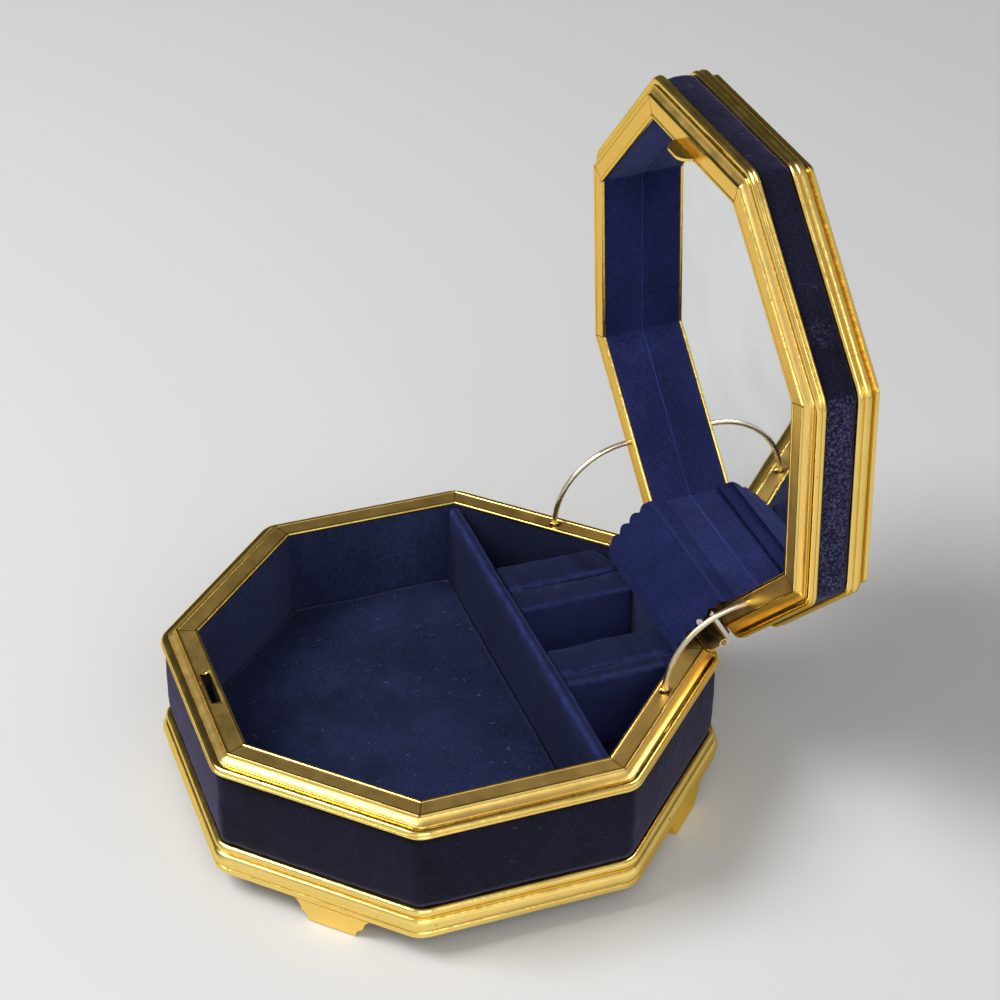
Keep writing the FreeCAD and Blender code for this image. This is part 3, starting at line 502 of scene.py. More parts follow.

# %% [markdown]
# The pile is one cloth in eight mixes: paler on the walls, as painted light,
# darker on the rolls and the partition, as painted shade, and nearly black outside.
# One cloth could serve for all, but eight mixes of the same kind give each piece
# the tone that it shows.

# %% Velvet tones
inner_velvet = velvet("inner_velvet", (0.0073, 0.0104, 0.038), (0.0165, 0.0232, 0.077),
                      (0.24, 0.28, 0.60), 0.30, 0.72)
# painted light: the walls of base and lid are paler copies of the cloth
wall_velvet_painted_light = velvet("wall_velvet_painted_light", (0.0145, 0.0195, 0.060), (0.0285, 0.0380, 0.114),
                     (0.27, 0.31, 0.60), 0.42, 0.77)
lid_wall_velvet = velvet("lid_wall_velvet", (0.0092, 0.0120, 0.064), (0.0190, 0.0245, 0.120),
                         (0.25, 0.29, 0.66), 0.42, 0.77)
# painted shade: the partition and the rolls are darker copies of the cloth
partition_velvet_painted_shade = velvet("partition_velvet_painted_shade", (0.0028, 0.0040, 0.019), (0.0070, 0.0098, 0.040),
                          (0.22, 0.27, 0.58), 0.20, 0.77)
roll_velvet_painted_shade = velvet("roll_velvet_painted_shade", (0.0040, 0.0052, 0.024), (0.0095, 0.0125, 0.049),
                     (0.22, 0.27, 0.58), 0.24, 0.76)
flap_velvet = velvet("flap_velvet", (0.0060, 0.0090, 0.052), (0.0120, 0.0175, 0.090),
                     (0.18, 0.23, 0.68), 0.26, 0.77)
outer_velvet = velvet("outer_velvet", (0.0024, 0.0029, 0.0080), (0.0080, 0.0082, 0.0220),
                      (0.36, 0.32, 0.62), 0.30, 0.74, 0.06)
# the lid band's strong speckle is painted sheen on its side towards +X
lid_velvet = velvet("lid_velvet", (0.0022, 0.0026, 0.0085), (0.0085, 0.0085, 0.0270),
                    (0.38, 0.33, 0.68), 0.30, 0.75, 0.95)
print("eight velvets, from the brushed floor to the dark outer bands")

# %% [markdown]
# The places come from the frame: the middle of the base, its ledge, the hinge and
# the angle of the open lid. Pieces could be drawn where they stand, but it is easier
# to draw them in millimetres round the middle of the octagon, the lid's as if it were
# shut, and to move them by one matrix for each body.

# %% Places from the frame
EIGHTH = math.pi / 4
BASE_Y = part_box("base_velvet")[0].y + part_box("base_velvet")[1].x
HINGE = Vector(frame["joints"][0]["pos_m"])
LID_ANGLE = math.radians(frame["joints"][0]["range_deg"][1])
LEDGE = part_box("base_rim")[1].z
OPEN_LID = Matrix.Translation(HINGE) @ Matrix.Rotation(-LID_ANGLE, 4, "X")
BASE_PLACE = Matrix.Translation((0, BASE_Y, 0))
LID_MIDDLE = BASE_Y - HINGE.y
LID_PLACE = OPEN_LID @ Matrix.Translation((0, LID_MIDDLE, 0))
MM = 0.001
PAD_FOOT = 16.6         # mm, 0.1 above the base board
ROOM_HALF = 73.0        # mm from the middle of the room to its walls
print("base middle y %.2f mm, ledge %.2f mm, lid open %.1f degrees" % (
    BASE_Y / MM, LEDGE / MM, math.degrees(LID_ANGLE)))

# %% [markdown]
# The mouldings and most soft pieces run round the octagon. One helper walks round an
# octagon whose corners are rounded, and another skins a stack of such rings, so a
# band is only a short list of distances and heights. A curve with a bevel would do
# too, but its corners couldn't grow softer from ring to ring.

# %% Octagon rings
def octagon(apothem, corner, along, around, beside=0.0):
    """Points (mm) round an octagon with corners of that radius, anticlockwise."""
    points = []
    flat = 2 * (apothem - corner) * math.tan(EIGHTH / 2)
    shares = [i / along for i in range(along)]
    if beside:
        shares = [0, beside / flat] + shares[1:] + [1 - beside / flat]
    for k in range(8):
        face = k * EIGHTH
        normal = Vector((math.cos(face), math.sin(face)))
        tangent = Vector((-normal.y, normal.x))
        for share in shares:
            points.append(normal * apothem + tangent * flat * (share - 0.5))
        pivot = normal * (apothem - corner) + tangent * flat * 0.5
        for i in range(around):
            angle = face + EIGHTH * i / around
            points.append(pivot + Vector((math.cos(angle), math.sin(angle))) * corner)
    return points


def skin(name, rings, place, material, closed=False, caps=False):
    """A mesh through rings of (x, y, z) points in mm, put in place."""
    count = len(rings[0])
    vertices = [place @ (Vector(p) * MM) for ring in rings for p in ring]
    faces = []
    last = len(rings) if closed else len(rings) - 1
    for r in range(last):
        here, there = r * count, ((r + 1) % len(rings)) * count
        for i in range(count):
            j = (i + 1) % count
            faces.append((here + i, here + j, there + j, there + i))
    if caps:
        faces.append(tuple(reversed(range(count))))
        faces.append(tuple(range((len(rings) - 1) * count, len(rings) * count)))
    mesh = bpy.data.meshes.new(name)
    mesh.from_pydata(vertices, [], faces)
    mesh.validate()
    mesh.materials.append(material)
    for polygon in mesh.polygons:
        polygon.use_smooth = True
    thing = bpy.data.objects.new(name, mesh)
    scene.collection.objects.link(thing)
    return thing


print("rings and skins for the octagon")

# %% [markdown]
# A few helpers finish a mesh. Noise moves its points for the nap and the wadding; a
# displacement modifier could do that, but points moved in code give the same result
# in each run. Faces turn outward, numbers go onto the points, and the piece is tied to
# its body and to the CAD nodes that it stands for.

# %% Mesh helpers
def ruffle(thing, amounts):
    """Moves points along their normals by seeded noise: (size in m, depth in m)."""
    mesh = thing.data
    normals = [v.normal.copy() for v in mesh.vertices]
    for vertex, normal in zip(mesh.vertices, normals):
        where = vertex.co.copy()
        for size, depth in amounts:
            vertex.co += normal * depth * noise.noise(where / size)


def face_outward(thing):
    """Turns every face of a closed mesh to the outside."""
    work = bmesh.new()
    work.from_mesh(thing.data)
    bmesh.ops.recalc_face_normals(work, faces=work.faces)
    work.to_mesh(thing.data)
    work.free()


def point_numbers(thing, *names):
    """Adds numbers to the points of a mesh, and returns the data of each."""
    for name in names:
        thing.data.attributes.new(name, "FLOAT", "POINT")
    return [thing.data.attributes[name].data for name in names]


def settle(thing, body, slot, *replaced):
    """The piece rides on a body and stands for its CAD nodes."""
    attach(thing, body)
    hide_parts(*replaced)
    return thing


print("helpers for nap, faces, numbers and bodies")

# %% [markdown]
# The four gilt mouldings are stamped sheet, and no edge of stamped sheet is quite
# sharp. A profile is a short list of distances and heights, some with the radius of an
# arc. Two helpers draw the arcs and round the corners; a bevel on the mesh could do
# that, but here hollow corners are also marked as grooves and the others as ridges.

# %% Soft profile
ARC_STEPS = 6
FILLET = 0.14                   # mm
FILLET_SHARE = 0.33             # a fillet takes up to this share of a side
SMOOTH_BEND = math.radians(16)  # a corner that bends less stays as it is
FULL_BEND = math.radians(50)    # a corner that bends this much is marked in full
FADE = 0.3                      # the mark at the ends of a fillet


def arc_between(start, stop, radius):
    """Points of an arc between two points; a positive radius bulges to the left."""
    chord = stop - start
    left = Vector((-chord.y, chord.x)).normalized() * (1 if radius > 0 else -1)
    size = max(abs(radius), chord.length / 2 * 1.001)
    inset = math.sqrt(size * size - (chord.length / 2) ** 2)
    centre = (start + stop) / 2 - left * inset
    first = (start - centre).normalized()
    sweep = first.angle_signed((stop - centre).normalized())
    angles = [-sweep * i / ARC_STEPS for i in range(1, ARC_STEPS)]
    return [centre + Matrix.Rotation(angle, 2) @ first * size for angle in angles]


def rounded_profile(points, grime):
    """Soft (point, groove, ridge) rows from (distance, height, arc radius) points."""
    path = [Vector(points[0][:2])]
    arcs = [False]
    for k in range(1, len(points) + 1):
        point = points[k % len(points)]
        start, stop = path[-1], Vector(point[:2])
        if len(point) > 2:
            between = arc_between(start, stop, point[2])
            path += between
            arcs += [True] * len(between)
        if k < len(points):
            path.append(stop)
            arcs.append(False)
    soft = []
    count = len(path)
    turning = sum(path[k - 1].cross(path[k]) for k in range(count))
    for k in range(count):
        here, before, after = path[k], path[k - 1], path[(k + 1) % count]
        into, out = (here - before), (after - here)
        bend = into.angle(out) if into.length and out.length else 0.0
        hollow = into.cross(out) * turning < 0
        if arcs[k] or bend < SMOOTH_BEND:
            soft.append((here, grime if hollow else 0, 0))
            continue
        reach = min(FILLET, FILLET_SHARE * into.length, FILLET_SHARE * out.length)
        a = here - into.normalized() * reach
        b = here + out.normalized() * reach
        strong = min(1.0, bend / FULL_BEND)
        groove, ridge = (strong, 0) if hollow else (0, strong)
        soft.append((a, FADE * groove, FADE * ridge))
        soft.append(((a + b) / 4 + here / 2, groove, ridge))
        soft.append((b, FADE * groove, FADE * ridge))
    return soft


print("profiles with arcs and small fillets")

# %% [markdown]
# A profile is carried round the octagon, with sharp mitres at the inner lip and beads
# that run softly round the corners, so the corner radius grows with the distance from
# the middle. A sweep along a curve would keep one radius. Numbers on the points mark
# the satin flats, the dark mitre lines, the grooves and the ridges.

# %% Moulding
ALONG = 26          # points along each side of the octagon
AROUND = 6          # points round each corner
SHARP_TO = 79.5     # mm from the middle: corners are sharp up to here
SOFTENING = 1.5     # mm of corner radius for each mm beyond
SHARPEST = 0.03     # mm, the smallest corner radius
SOFTEST = 8.5       # mm, the largest corner radius
MITRE_TO = 80       # mm from the middle: the dark mitre line ends here
MITRE_WIDTH = 0.50  # mm


def moulding(name, points, place, body, node, flats, grime=0.0):
    """A closed gilt moulding; flats lists (near, far, dullness) of its satin parts."""
    profile = rounded_profile(points, grime)
    rings = []
    for (reach, level), groove, ridge in profile:
        corner = max(SHARPEST, min(SOFTEST, SOFTENING * (reach - SHARP_TO)))
        ring = octagon(reach, corner, ALONG, AROUND, MITRE_WIDTH)
        rings.append([(p.x, p.y, level) for p in ring])
    thing = skin(name, rings, place, gilt, closed=True)
    face_outward(thing)
    flat, mitre, grooves, ridges = point_numbers(thing, "flat", "mitre", "groove", "ridge")
    side = ALONG + 2 + AROUND
    for r, ((reach, level), groove, ridge) in enumerate(profile):
        dulls = [dull for near, far, dull in flats if near <= reach <= far]
        satin = max(dulls, default=0.0)
        for i in range(8 * side):
            step = i % side
            at = r * 8 * side + i
            at_mitre = reach < MITRE_TO and (step >= ALONG + 2 or step == 0)
            flat[at].value = satin
            mitre[at].value = 1.0 if at_mitre else 0.0
            grooves[at].value = groove
            ridges[at].value = ridge
    return settle(thing, body, "gilt", node)


print("a moulding has", 8 * (ALONG + 2 + AROUND), "points to a ring")

# %% [markdown]
# The rims of base and lid share one profile, drawn down from the ledge and turned over
# for the lid: a thin lip, a flat ledge, a cove and two beads. The plinth and the crown
# have their own. A profile could be traced point by point, but a few corners and arcs
# are all that a stamped moulding has.

# %% Four mouldings
RIM = [
    (73, -1.2), (73, -0.55), (73.55, 0, 0.6), (74, 0), (74.3, -0.3), (79, -0.3),
    (79.3, 0), (79.9, 0), (80, -0.7), (82.6, -2.3, -4.5), (82.6, -2.8), (83.2, -2.8),
    (85.05, -4, 1.5), (84.7, -4.25), (85.2, -4.9, 0.8), (83.9, -5.8, 1.3), (82.2, -5.8),
    (82.2, -3.4), (79.5, -1.3), (74.2, -1.3),
]
RIM_FLATS = [(74.2, 79.1, 1.0), (80.2, 82.5, 0.8)]
PLINTH = [
    (82.2, 7.5), (82.2, 18.7), (84.0, 18.7), (85.2, 16.1, 1.6), (84.6, 15.8), (84.6, 15.4),
    (85.5, 15), (86.1, 10.7, 3.4), (85.4, 10.1), (85.9, 9.7), (85.9, 8.1), (85.3, 7.5),
]
CROWN = [
    (82.2, 15.8), (83.7, 15.8), (84.2, 17.5, 1.1), (83.6, 17.7), (84.1, 18.1), (83.5, 20.5, 1.6),
    (81.4, 22.2, -3.4), (82, 22.4), (82, 23.6), (74.2, 23.6), (74.2, 20.4), (82.2, 20.4),
]
HALF_GAP = 0.175        # mm, half the gap between the shut rims
ledge_mm = LEDGE / MM
base_moulding = moulding(
    "base_moulding", [(p[0], p[1] + ledge_mm, *p[2:]) for p in RIM],
    BASE_PLACE, "base", "base_rim", RIM_FLATS)
lid_moulding = moulding(
    "lid_moulding", [(p[0], HALF_GAP - p[1], *[-v for v in p[2:]]) for p in RIM],
    LID_PLACE, "lid", "lid_rim", RIM_FLATS)
plinth_moulding = moulding("plinth_moulding", PLINTH, BASE_PLACE, "base", "base_plinth", [])
crown_moulding = moulding(
    "crown_moulding", [(p[0], p[1] + HALF_GAP, *[-v for v in p[2:]]) for p in CROWN],
    LID_PLACE, "lid", "lid_crown", [], 0.5)
print("rims, plinth and crown")

# %% [markdown]
# The ledge of the base has a slot for the latch tongue and a hole for each stay. They
# could be painted dark, but a cut shows its depth from every side. The cuts are made
# once, the metal round the slot is marked as worn bright, and the shading is evened so
# that flats stay flat beside their fillets.

# %% Slot and stay holes
def cut_away(thing, cutters):
    """Takes boxes or rods (bmesh makers) out of a piece for good."""
    for maker in cutters:
        mesh = bpy.data.meshes.new("cutter")
        work = bmesh.new()
        maker(work)
        work.to_mesh(mesh)
        work.free()
        tool = bpy.data.objects.new("cutter", mesh)
        scene.collection.objects.link(tool)
        knife = thing.modifiers.new("cut", "BOOLEAN")
        knife.operation = "DIFFERENCE"
        knife.solver = "EXACT"
        knife.object = tool
        bpy.context.view_layer.update()
        seen = thing.evaluated_get(bpy.context.evaluated_depsgraph_get())
        result = bpy.data.meshes.new_from_object(seen)
        thing.modifiers.clear()
        thing.data = result
        bpy.data.objects.remove(tool)
    for polygon in thing.data.polygons:
        polygon.use_smooth = True


def even_shading(thing):
    """Keeps flats flat in the shading beside their small fillets."""
    weighted = thing.modifiers.new("even_shading", "WEIGHTED_NORMAL")
    weighted.keep_sharp = False
    weighted.weight = 60


SLOT_Y = -76.6          # mm, the middle of the latch slot
SLOT_HALF = (7.8, 1.5)  # mm, half its length and width
WORN_WIDTH = 0.6        # mm of bright wear round it
CUT_DEPTH = 8.0         # mm, half above the ledge and half below
STAY_X = 49.0           # mm from the middle to each stay
STAY_ARM = 27.9         # mm from the hinge axis to the wire
STAY_HOLE = 1.7         # mm, the radius of its hole


def slot_box(work):
    """The latch slot through the front of the ledge."""
    middle = Matrix.Translation((0, SLOT_Y * MM, LEDGE))
    size = Matrix.Diagonal((2 * SLOT_HALF[0] * MM, 2 * SLOT_HALF[1] * MM, CUT_DEPTH * MM, 1))
    bmesh.ops.create_cube(work, size=1, matrix=BASE_PLACE @ middle @ size)


def stay_rod(x):
    """The hole of one stay; its wire rises from it."""
    def maker(work):
        bmesh.ops.create_cone(
            work, segments=20, radius1=STAY_HOLE * MM, radius2=STAY_HOLE * MM,
            depth=CUT_DEPTH * MM, cap_ends=True,
            matrix=Matrix.Translation((x * MM, HINGE.y - STAY_ARM * MM, LEDGE)))
    return maker


cut_away(base_moulding, [slot_box, stay_rod(-STAY_X), stay_rod(STAY_X)])
ridges = base_moulding.data.attributes["ridge"].data
for vertex in base_moulding.data.vertices:
    spot = (BASE_PLACE.inverted() @ vertex.co) / MM
    beside = max(abs(spot.x) - SLOT_HALF[0], 0)
    behind = max(abs(spot.y - SLOT_Y) - SLOT_HALF[1], 0)
    if math.hypot(beside, behind) < WORN_WIDTH and spot.z > ledge_mm - WORN_WIDTH:
        ridges[vertex.index].value = 1.0
for thing in (base_moulding, lid_moulding, plinth_moulding, crown_moulding):
    even_shading(thing)
    print(thing.name, len(thing.data.vertices), "points")

# %% [markdown]
# The outer bands are velvet glued round the wall. Over the thin wadding the
# band swells a little between the mouldings, and its corners are soft. Eight flat
# strips would show seams at the corners, so the band is one skin, each ring a step
# up the band; the noise is the nap and the wadding.

# %% Outer velvet bands
BAND_STEPS = 14         # rings up a band
BAND_SINK = 0.2         # mm, the glued edges lie this far behind the face
BAND_PUFF = 0.35        # mm, the swell at half height
TUCK = 0.35             # mm, how far the edges are drawn in
TUCK_REACH = 0.7        # mm, how fast that fades from the edge
BAND_CORNER = 4.5       # mm


def band_ring(reach, level):
    """One octagon of a band at a height (mm)."""
    return [(p.x, p.y, level) for p in octagon(reach, BAND_CORNER, along=34, around=6)]


def band(name, inside, face, low, high, place, material):
    """A closed ring whose outer face swells between low and high (mm)."""
    rings = []
    for k in range(BAND_STEPS + 1):
        share = k / BAND_STEPS
        edge = min(share, 1 - share) * (high - low)
        tuck = TUCK * math.exp(-edge / TUCK_REACH)
        puff = BAND_PUFF * math.sin(math.pi * share)
        rings.append(band_ring(face - BAND_SINK + puff - tuck, low + share * (high - low)))
    rings += [band_ring(inside, high), band_ring(inside, low)]
    thing = skin(name, rings, place, material, closed=True)
    ruffle(thing, [(0.022, 0.00022), (0.0045, 0.00016), (0.0016, 0.00010)])
    return thing


base_band = band("base_band", inside=82.3, face=83.9, low=18.8, high=46.6,
                 place=BASE_PLACE, material=outer_velvet)
settle(base_band, "base", "outer_velvet", "base_velvet")
lid_band = band("lid_band", inside=82.3, face=83.5, low=6.05, high=15.9,
                place=LID_PLACE, material=lid_velvet)
settle(lid_band, "lid", "outer_velvet", "lid_velvet")
print("outer bands:", len(base_band.data.vertices), "and", len(lid_band.data.vertices), "points")

# %% [markdown]
# The walls inside are strips of card with velvet over them, one to a side, so
# a fine groove shows in each corner. They end under the lip of the rim. Eight
# separate strips would do, but one skinned ring keeps the corners closed. The
# walls behind the partition are darkened as painted shade, and those of the lid
# have a painted highlight along the glass.

# %% Linings of base and lid
LINING_BACK = 74.15     # mm from the middle
LINING_FACE = 73.25
LINING_CORNER = 0.6
LINING_BOW = 0.18       # mm, the swell at half height
LINING_STEPS = 12
# painted shade on the walls behind the partition
LINING_SHADE = 0.7      # how dark the walls behind the partition are
# the pale edge below is a painted highlight along the lid's glass, this wide
HIGHLIGHT_EDGE = 0.22        # mm, the width of a worn edge
NOWHERE = 100.0         # mm, beyond every wall


def lining_ring(reach, level):
    """One octagon of a lining at a height (mm)."""
    return [(p.x, p.y, level) for p in octagon(reach, LINING_CORNER, along=30, around=3)]


def lining(name, low, high, place, body, node, material, painted_shade_from, edge_highlight):
    """A ring of velvet walls (mm); painted shade beyond a y, a painted highlight at the top."""
    highlight_from = 1 - HIGHLIGHT_EDGE / (high - low)
    shares = [k / LINING_STEPS for k in range(LINING_STEPS)] + [highlight_from, 1.0]
    rings = []
    for share in shares:
        bow = LINING_BOW * math.sin(math.pi * share)
        rings.append(lining_ring(LINING_FACE - bow, low + share * (high - low)))
    rings += [lining_ring(LINING_BACK, high), lining_ring(LINING_BACK, low)]
    thing = skin(name, rings, place, material, closed=True)
    thing.data.flip_normals()
    shade, wear_and_painted_light = point_numbers(thing, "shade", "wear_and_painted_light")
    for r, ring in enumerate(rings):
        for i, (x, y, level) in enumerate(ring):
            # painted shade behind the partition; the top ring gets the painted highlight
            shade[r * len(ring) + i].value = LINING_SHADE if y > painted_shade_from else 0.0
            wear_and_painted_light[r * len(ring) + i].value = edge_highlight if r == len(shares) - 1 else 0.0
    ruffle(thing, [(0.030, 0.00020), (0.006, 0.00010)])
    settle(thing, body, "inner_velvet", node)
    print(name, len(thing.data.vertices), "points")


lining("base_inner_wall", low=PAD_FOOT, high=51.2, place=BASE_PLACE, body="base",
       node="base_lining", material=wall_velvet_painted_light, painted_shade_from=31.0, edge_highlight=0.0)
lining("lid_inner_wall", low=1.45, high=15.1, place=LID_PLACE, body="lid",
       node="lid_lining", material=lid_wall_velvet, painted_shade_from=NOWHERE, edge_highlight=0.7)

# %% [markdown]
# The floor of the front room and the ring tray are card with wadding under
# velvet: flat below, softly crowned above, with rounded edges. They could be
# sculpted, but a grid cut to the outline and lifted by the distance from the
# edge gives that form at once.

# %% Cushion plate
CELL = 2.2              # mm, the mesh of the grid
SPAN = 76.0             # mm, half the side of the grid
CATCH = 0.75            # points up to this share of a cell outside are pulled in
EDGE_SHARE = 0.35       # the height of the edge, as a share of the pad's
CROWN_REACH = 25.0      # mm from the edge to the full crown


def pull_in(inside, x, y):
    """Moves a point outside an outline back onto it, against the slope of inside."""
    step = 0.01
    for _ in range(6):
        depth = inside(x, y)
        if depth >= 0:
            break
        gx = (inside(x + step, y) - depth) / step
        gy = (inside(x, y + step) - depth) / step
        size = gx * gx + gy * gy or 1.0
        x -= depth * gx / size
        y -= depth * gy / size
    return x, y


def cushion_plate(name, inside, low, high, material, soft=2.0, crown=0.5):
    """A pad over the points (mm) where inside(x, y) is positive: distance to its edge."""
    count = int(2 * SPAN / CELL)
    index = {}
    vertices = []
    faces = []
    for i in range(count + 1):
        for j in range(count + 1):
            x, y = -SPAN + i * CELL, -SPAN + j * CELL
            if inside(x, y) < -CATCH * CELL:
                continue
            x, y = pull_in(inside, x, y)
            depth = max(0.0, inside(x, y))
            share = max(0.0, min(1.0, depth / soft))
            lift = math.sqrt(1 - (1 - share) ** 2)
            top = low + (high - low - crown) * (EDGE_SHARE + (1 - EDGE_SHARE) * lift)
            top += crown * min(1.0, depth / CROWN_REACH)
            index[i, j] = len(vertices)
            vertices.append((x, y, top))
    for i in range(count):
        for j in range(count):
            corner = [(i, j), (i + 1, j), (i + 1, j + 1), (i, j + 1)]
            if all(c in index for c in corner):
                faces.append(tuple(index[c] for c in corner))
    mesh = bpy.data.meshes.new(name)
    mesh.from_pydata([Vector(v) * MM for v in vertices], [], faces)
    mesh.transform(BASE_PLACE)
    mesh.materials.append(material)
    thing = bpy.data.objects.new(name, mesh)
    scene.collection.objects.link(thing)
    close_below(thing, low * MM)
    return thing


def close_below(thing, level):
    """Drops a skirt from the rim of a pad to a level and closes it there."""
    work = bmesh.new()
    work.from_mesh(thing.data)
    rim = [e for e in work.edges if len(e.link_faces) == 1]
    made = bmesh.ops.extrude_edge_only(work, edges=rim)
    for vertex in [g for g in made["geom"] if isinstance(g, bmesh.types.BMVert)]:
        vertex.co.z = level
    rim = [e for e in work.edges if len(e.link_faces) == 1]
    bmesh.ops.holes_fill(work, edges=rim, sides=0)
    bmesh.ops.recalc_face_normals(work, faces=work.faces)
    for face in work.faces:
        face.smooth = True
    work.to_mesh(thing.data)
    work.free()


print("pads on a grid of %.1f mm" % CELL)

# %% [markdown]
# The partition divides the octagon: the floor pad fills the front room and the ring
# tray the back one. Each outline is a distance to the nearest side, so the pad's shape
# is one line of code, where a drawn outline would need its corners worked out.

# %% Padded floor and tray
def octagon_depth(x, y, apothem):
    """Distance (mm) from a point inside an octagon to its nearest side."""
    return min(apothem - x * math.cos(k * EIGHTH) - y * math.sin(k * EIGHTH) for k in range(8))


FLOOR_BACK = 28.0       # mm from the middle, just before the partition
TRAY_FRONT = 32.6       # mm from the middle, just behind the partition
TRAY_HALF = 72.7        # mm, a little less than the room
floor_cushion = cushion_plate(
    "floor_cushion", lambda x, y: min(octagon_depth(x, y, ROOM_HALF), FLOOR_BACK - y),
    low=PAD_FOOT, high=21.4, material=inner_velvet)
ruffle(floor_cushion, [(0.035, 0.0003), (0.008, 0.00012)])
settle(floor_cushion, "base", "inner_velvet", "floor_pad")

tray_cushion = cushion_plate(
    "tray_cushion", lambda x, y: min(octagon_depth(x, y, TRAY_HALF), y - TRAY_FRONT),
    low=PAD_FOOT, high=19.45, material=inner_velvet, soft=1.2, crown=0.0)
settle(tray_cushion, "base", "inner_velvet", "ring_tray")
print("floor cushion", len(floor_cushion.data.vertices), "points")

# %% [markdown]
# The partition and the ring rolls are long soft bars. Each is a section, drawn
# once as a rounded outline, carried along its length with a little waver, and
# closed at the ends. A curve with a bevel would do for straight bars, but these
# ends follow the slanted walls. Numbers on the points give the worn top edges, and
# painted shade on the rolls' tops and painted light down their flanks.

# %% Soft bars
SIDE_STEPS = 6          # points up a side
TURN_STEPS = 7          # points round a top edge
FOOT = 2                # mm, the height of the foot
FOOT_INSETS = (0.3, 0.1)    # mm, how far its lower and upper edges are drawn in
RUB_WIDTH = 2.2         # mm of worn velvet across a top edge
RUB_DEPTH = 3.2         # mm of worn velvet down from the top
# painted shade on the tops of the rolls, and painted light down their flanks:
PAINTED_SHADE_DEPTH = 1.7        # mm of dark velvet down from the top
PAINTED_LIGHT_FROM = 1.2        # mm below the top: the pale flank starts
PAINTED_LIGHT_FADE = 2.5        # mm in which it grows to its full tone


def rounded_bar(low, high, left, right, radius, waist):
    """Outline (u, z) of a bar in mm: flat foot, drawn-in sides, round top."""
    half = []
    for k in range(1, SIDE_STEPS):
        share = k / SIDE_STEPS
        level = low + FOOT + share * (high - radius - low - FOOT)
        half.append((waist * math.sin(math.pi * share), level))
    lower, upper = FOOT_INSETS
    outline = [(left + lower, low), (left + upper, low + FOOT)]
    outline += [(left + inset, z) for inset, z in half]
    for middle, first in ((left + radius, math.pi), (right - radius, math.pi / 2)):
        for k in range(TURN_STEPS + 1):
            angle = first - (math.pi / 2) * k / TURN_STEPS
            outline.append((
                middle + radius * math.cos(angle), high - radius + radius * math.sin(angle)))
    outline += [(right - inset, z) for inset, z in reversed(half)]
    outline += [(right - upper, low + FOOT), (right - lower, low)]
    return outline


def mark_bar(thing, outline, rings, rub, painted_shade_top, painted_light_side):
    """Patchy wear on the top edges, painted shade on the top, painted light on the flanks."""
    left, right = min(u for u, z in outline), max(u for u, z in outline)
    foot, top = min(z for u, z in outline), max(z for u, z in outline)
    wear_and_painted_light, shade = point_numbers(thing, "wear_and_painted_light", "shade")
    for k in range(rings):
        for i, (u, z) in enumerate(outline):
            beside = max(0.0, 1 - min(u - left, right - u) / RUB_WIDTH)
            above = max(0.0, 1 - (top - z) / RUB_DEPTH)
            patchy = 0.55 + 0.45 * noise.noise(Vector((k * 0.45, i * 0.2, left)))
            deep = (top - z) / (top - foot)
            below = max(0.0, min(1.0, (top - z - PAINTED_LIGHT_FROM) / PAINTED_LIGHT_FADE))
            edge = rub * min(beside, above) * patchy
            # painted light down the flank
            painted_flank_light = painted_light_side * below * (0.35 + 0.65 * deep)
            at = k * len(outline) + i
            wear_and_painted_light[at].value = max(edge, painted_flank_light)
            # painted shade on the top
            shade[at].value = painted_shade_top * max(0.0, 1 - (top - z) / PAINTED_SHADE_DEPTH)


def bar_along(name, outline, ends, along_x, material, steps,
              rub=1.0, painted_shade_top=0.0, painted_light_side=0.0):
    """Carries an outline along x or y between the two ends of each (u, z)."""
    rings = []
    for k in range(steps + 1):
        share = k / steps
        ring = []
        for u, z in outline:
            start, stop = ends(u, z)
            w = start + share * (stop - start)
            ring.append((w, u, z) if along_x else (u, w, z))
        rings.append(ring)
    thing = skin(name, rings, BASE_PLACE, material, caps=True)
    mark_bar(thing, outline, len(rings), rub, painted_shade_top, painted_light_side)
    face_outward(thing)
    return thing


print("outlines and marks for soft bars")

# %% [markdown]
# The partition is card in velvet, nearly as high as the ledge, with worn top edges. A
# box with a bevel would be too straight, so the bar is carried from wall to wall and
# then ruffled a little.

# %% Partition
END_GAP = 0.1           # mm between its ends and the walls


def partition_ends(u, z):
    """The partition reaches from wall to wall, straight or slanted."""
    reach = min(ROOM_HALF, ROOM_HALF * math.sqrt(2) - u) - END_GAP
    return -reach, reach


partition_outline = rounded_bar(
    low=PAD_FOOT, high=50.2, left=28.2, right=32.2, radius=1.9, waist=0.25)
partition = bar_along("partition", partition_outline, partition_ends, along_x=True,
                      material=partition_velvet_painted_shade, steps=90, rub=1.7)
ruffle(partition, [(0.030, 0.00035), (0.007, 0.00012)])
settle(partition, "base", "inner_velvet", "divider")
print("partition", len(partition.data.vertices), "points")

# %% [markdown]
# Rings are pushed between the rolls, which stand in two pairs. Each is wadding in
# velvet, with painted shade on top and painted light down its flanks. The frame gives
# each roll's width and height, so one loop makes all four; copies of one roll would
# not fit, since their widths differ.

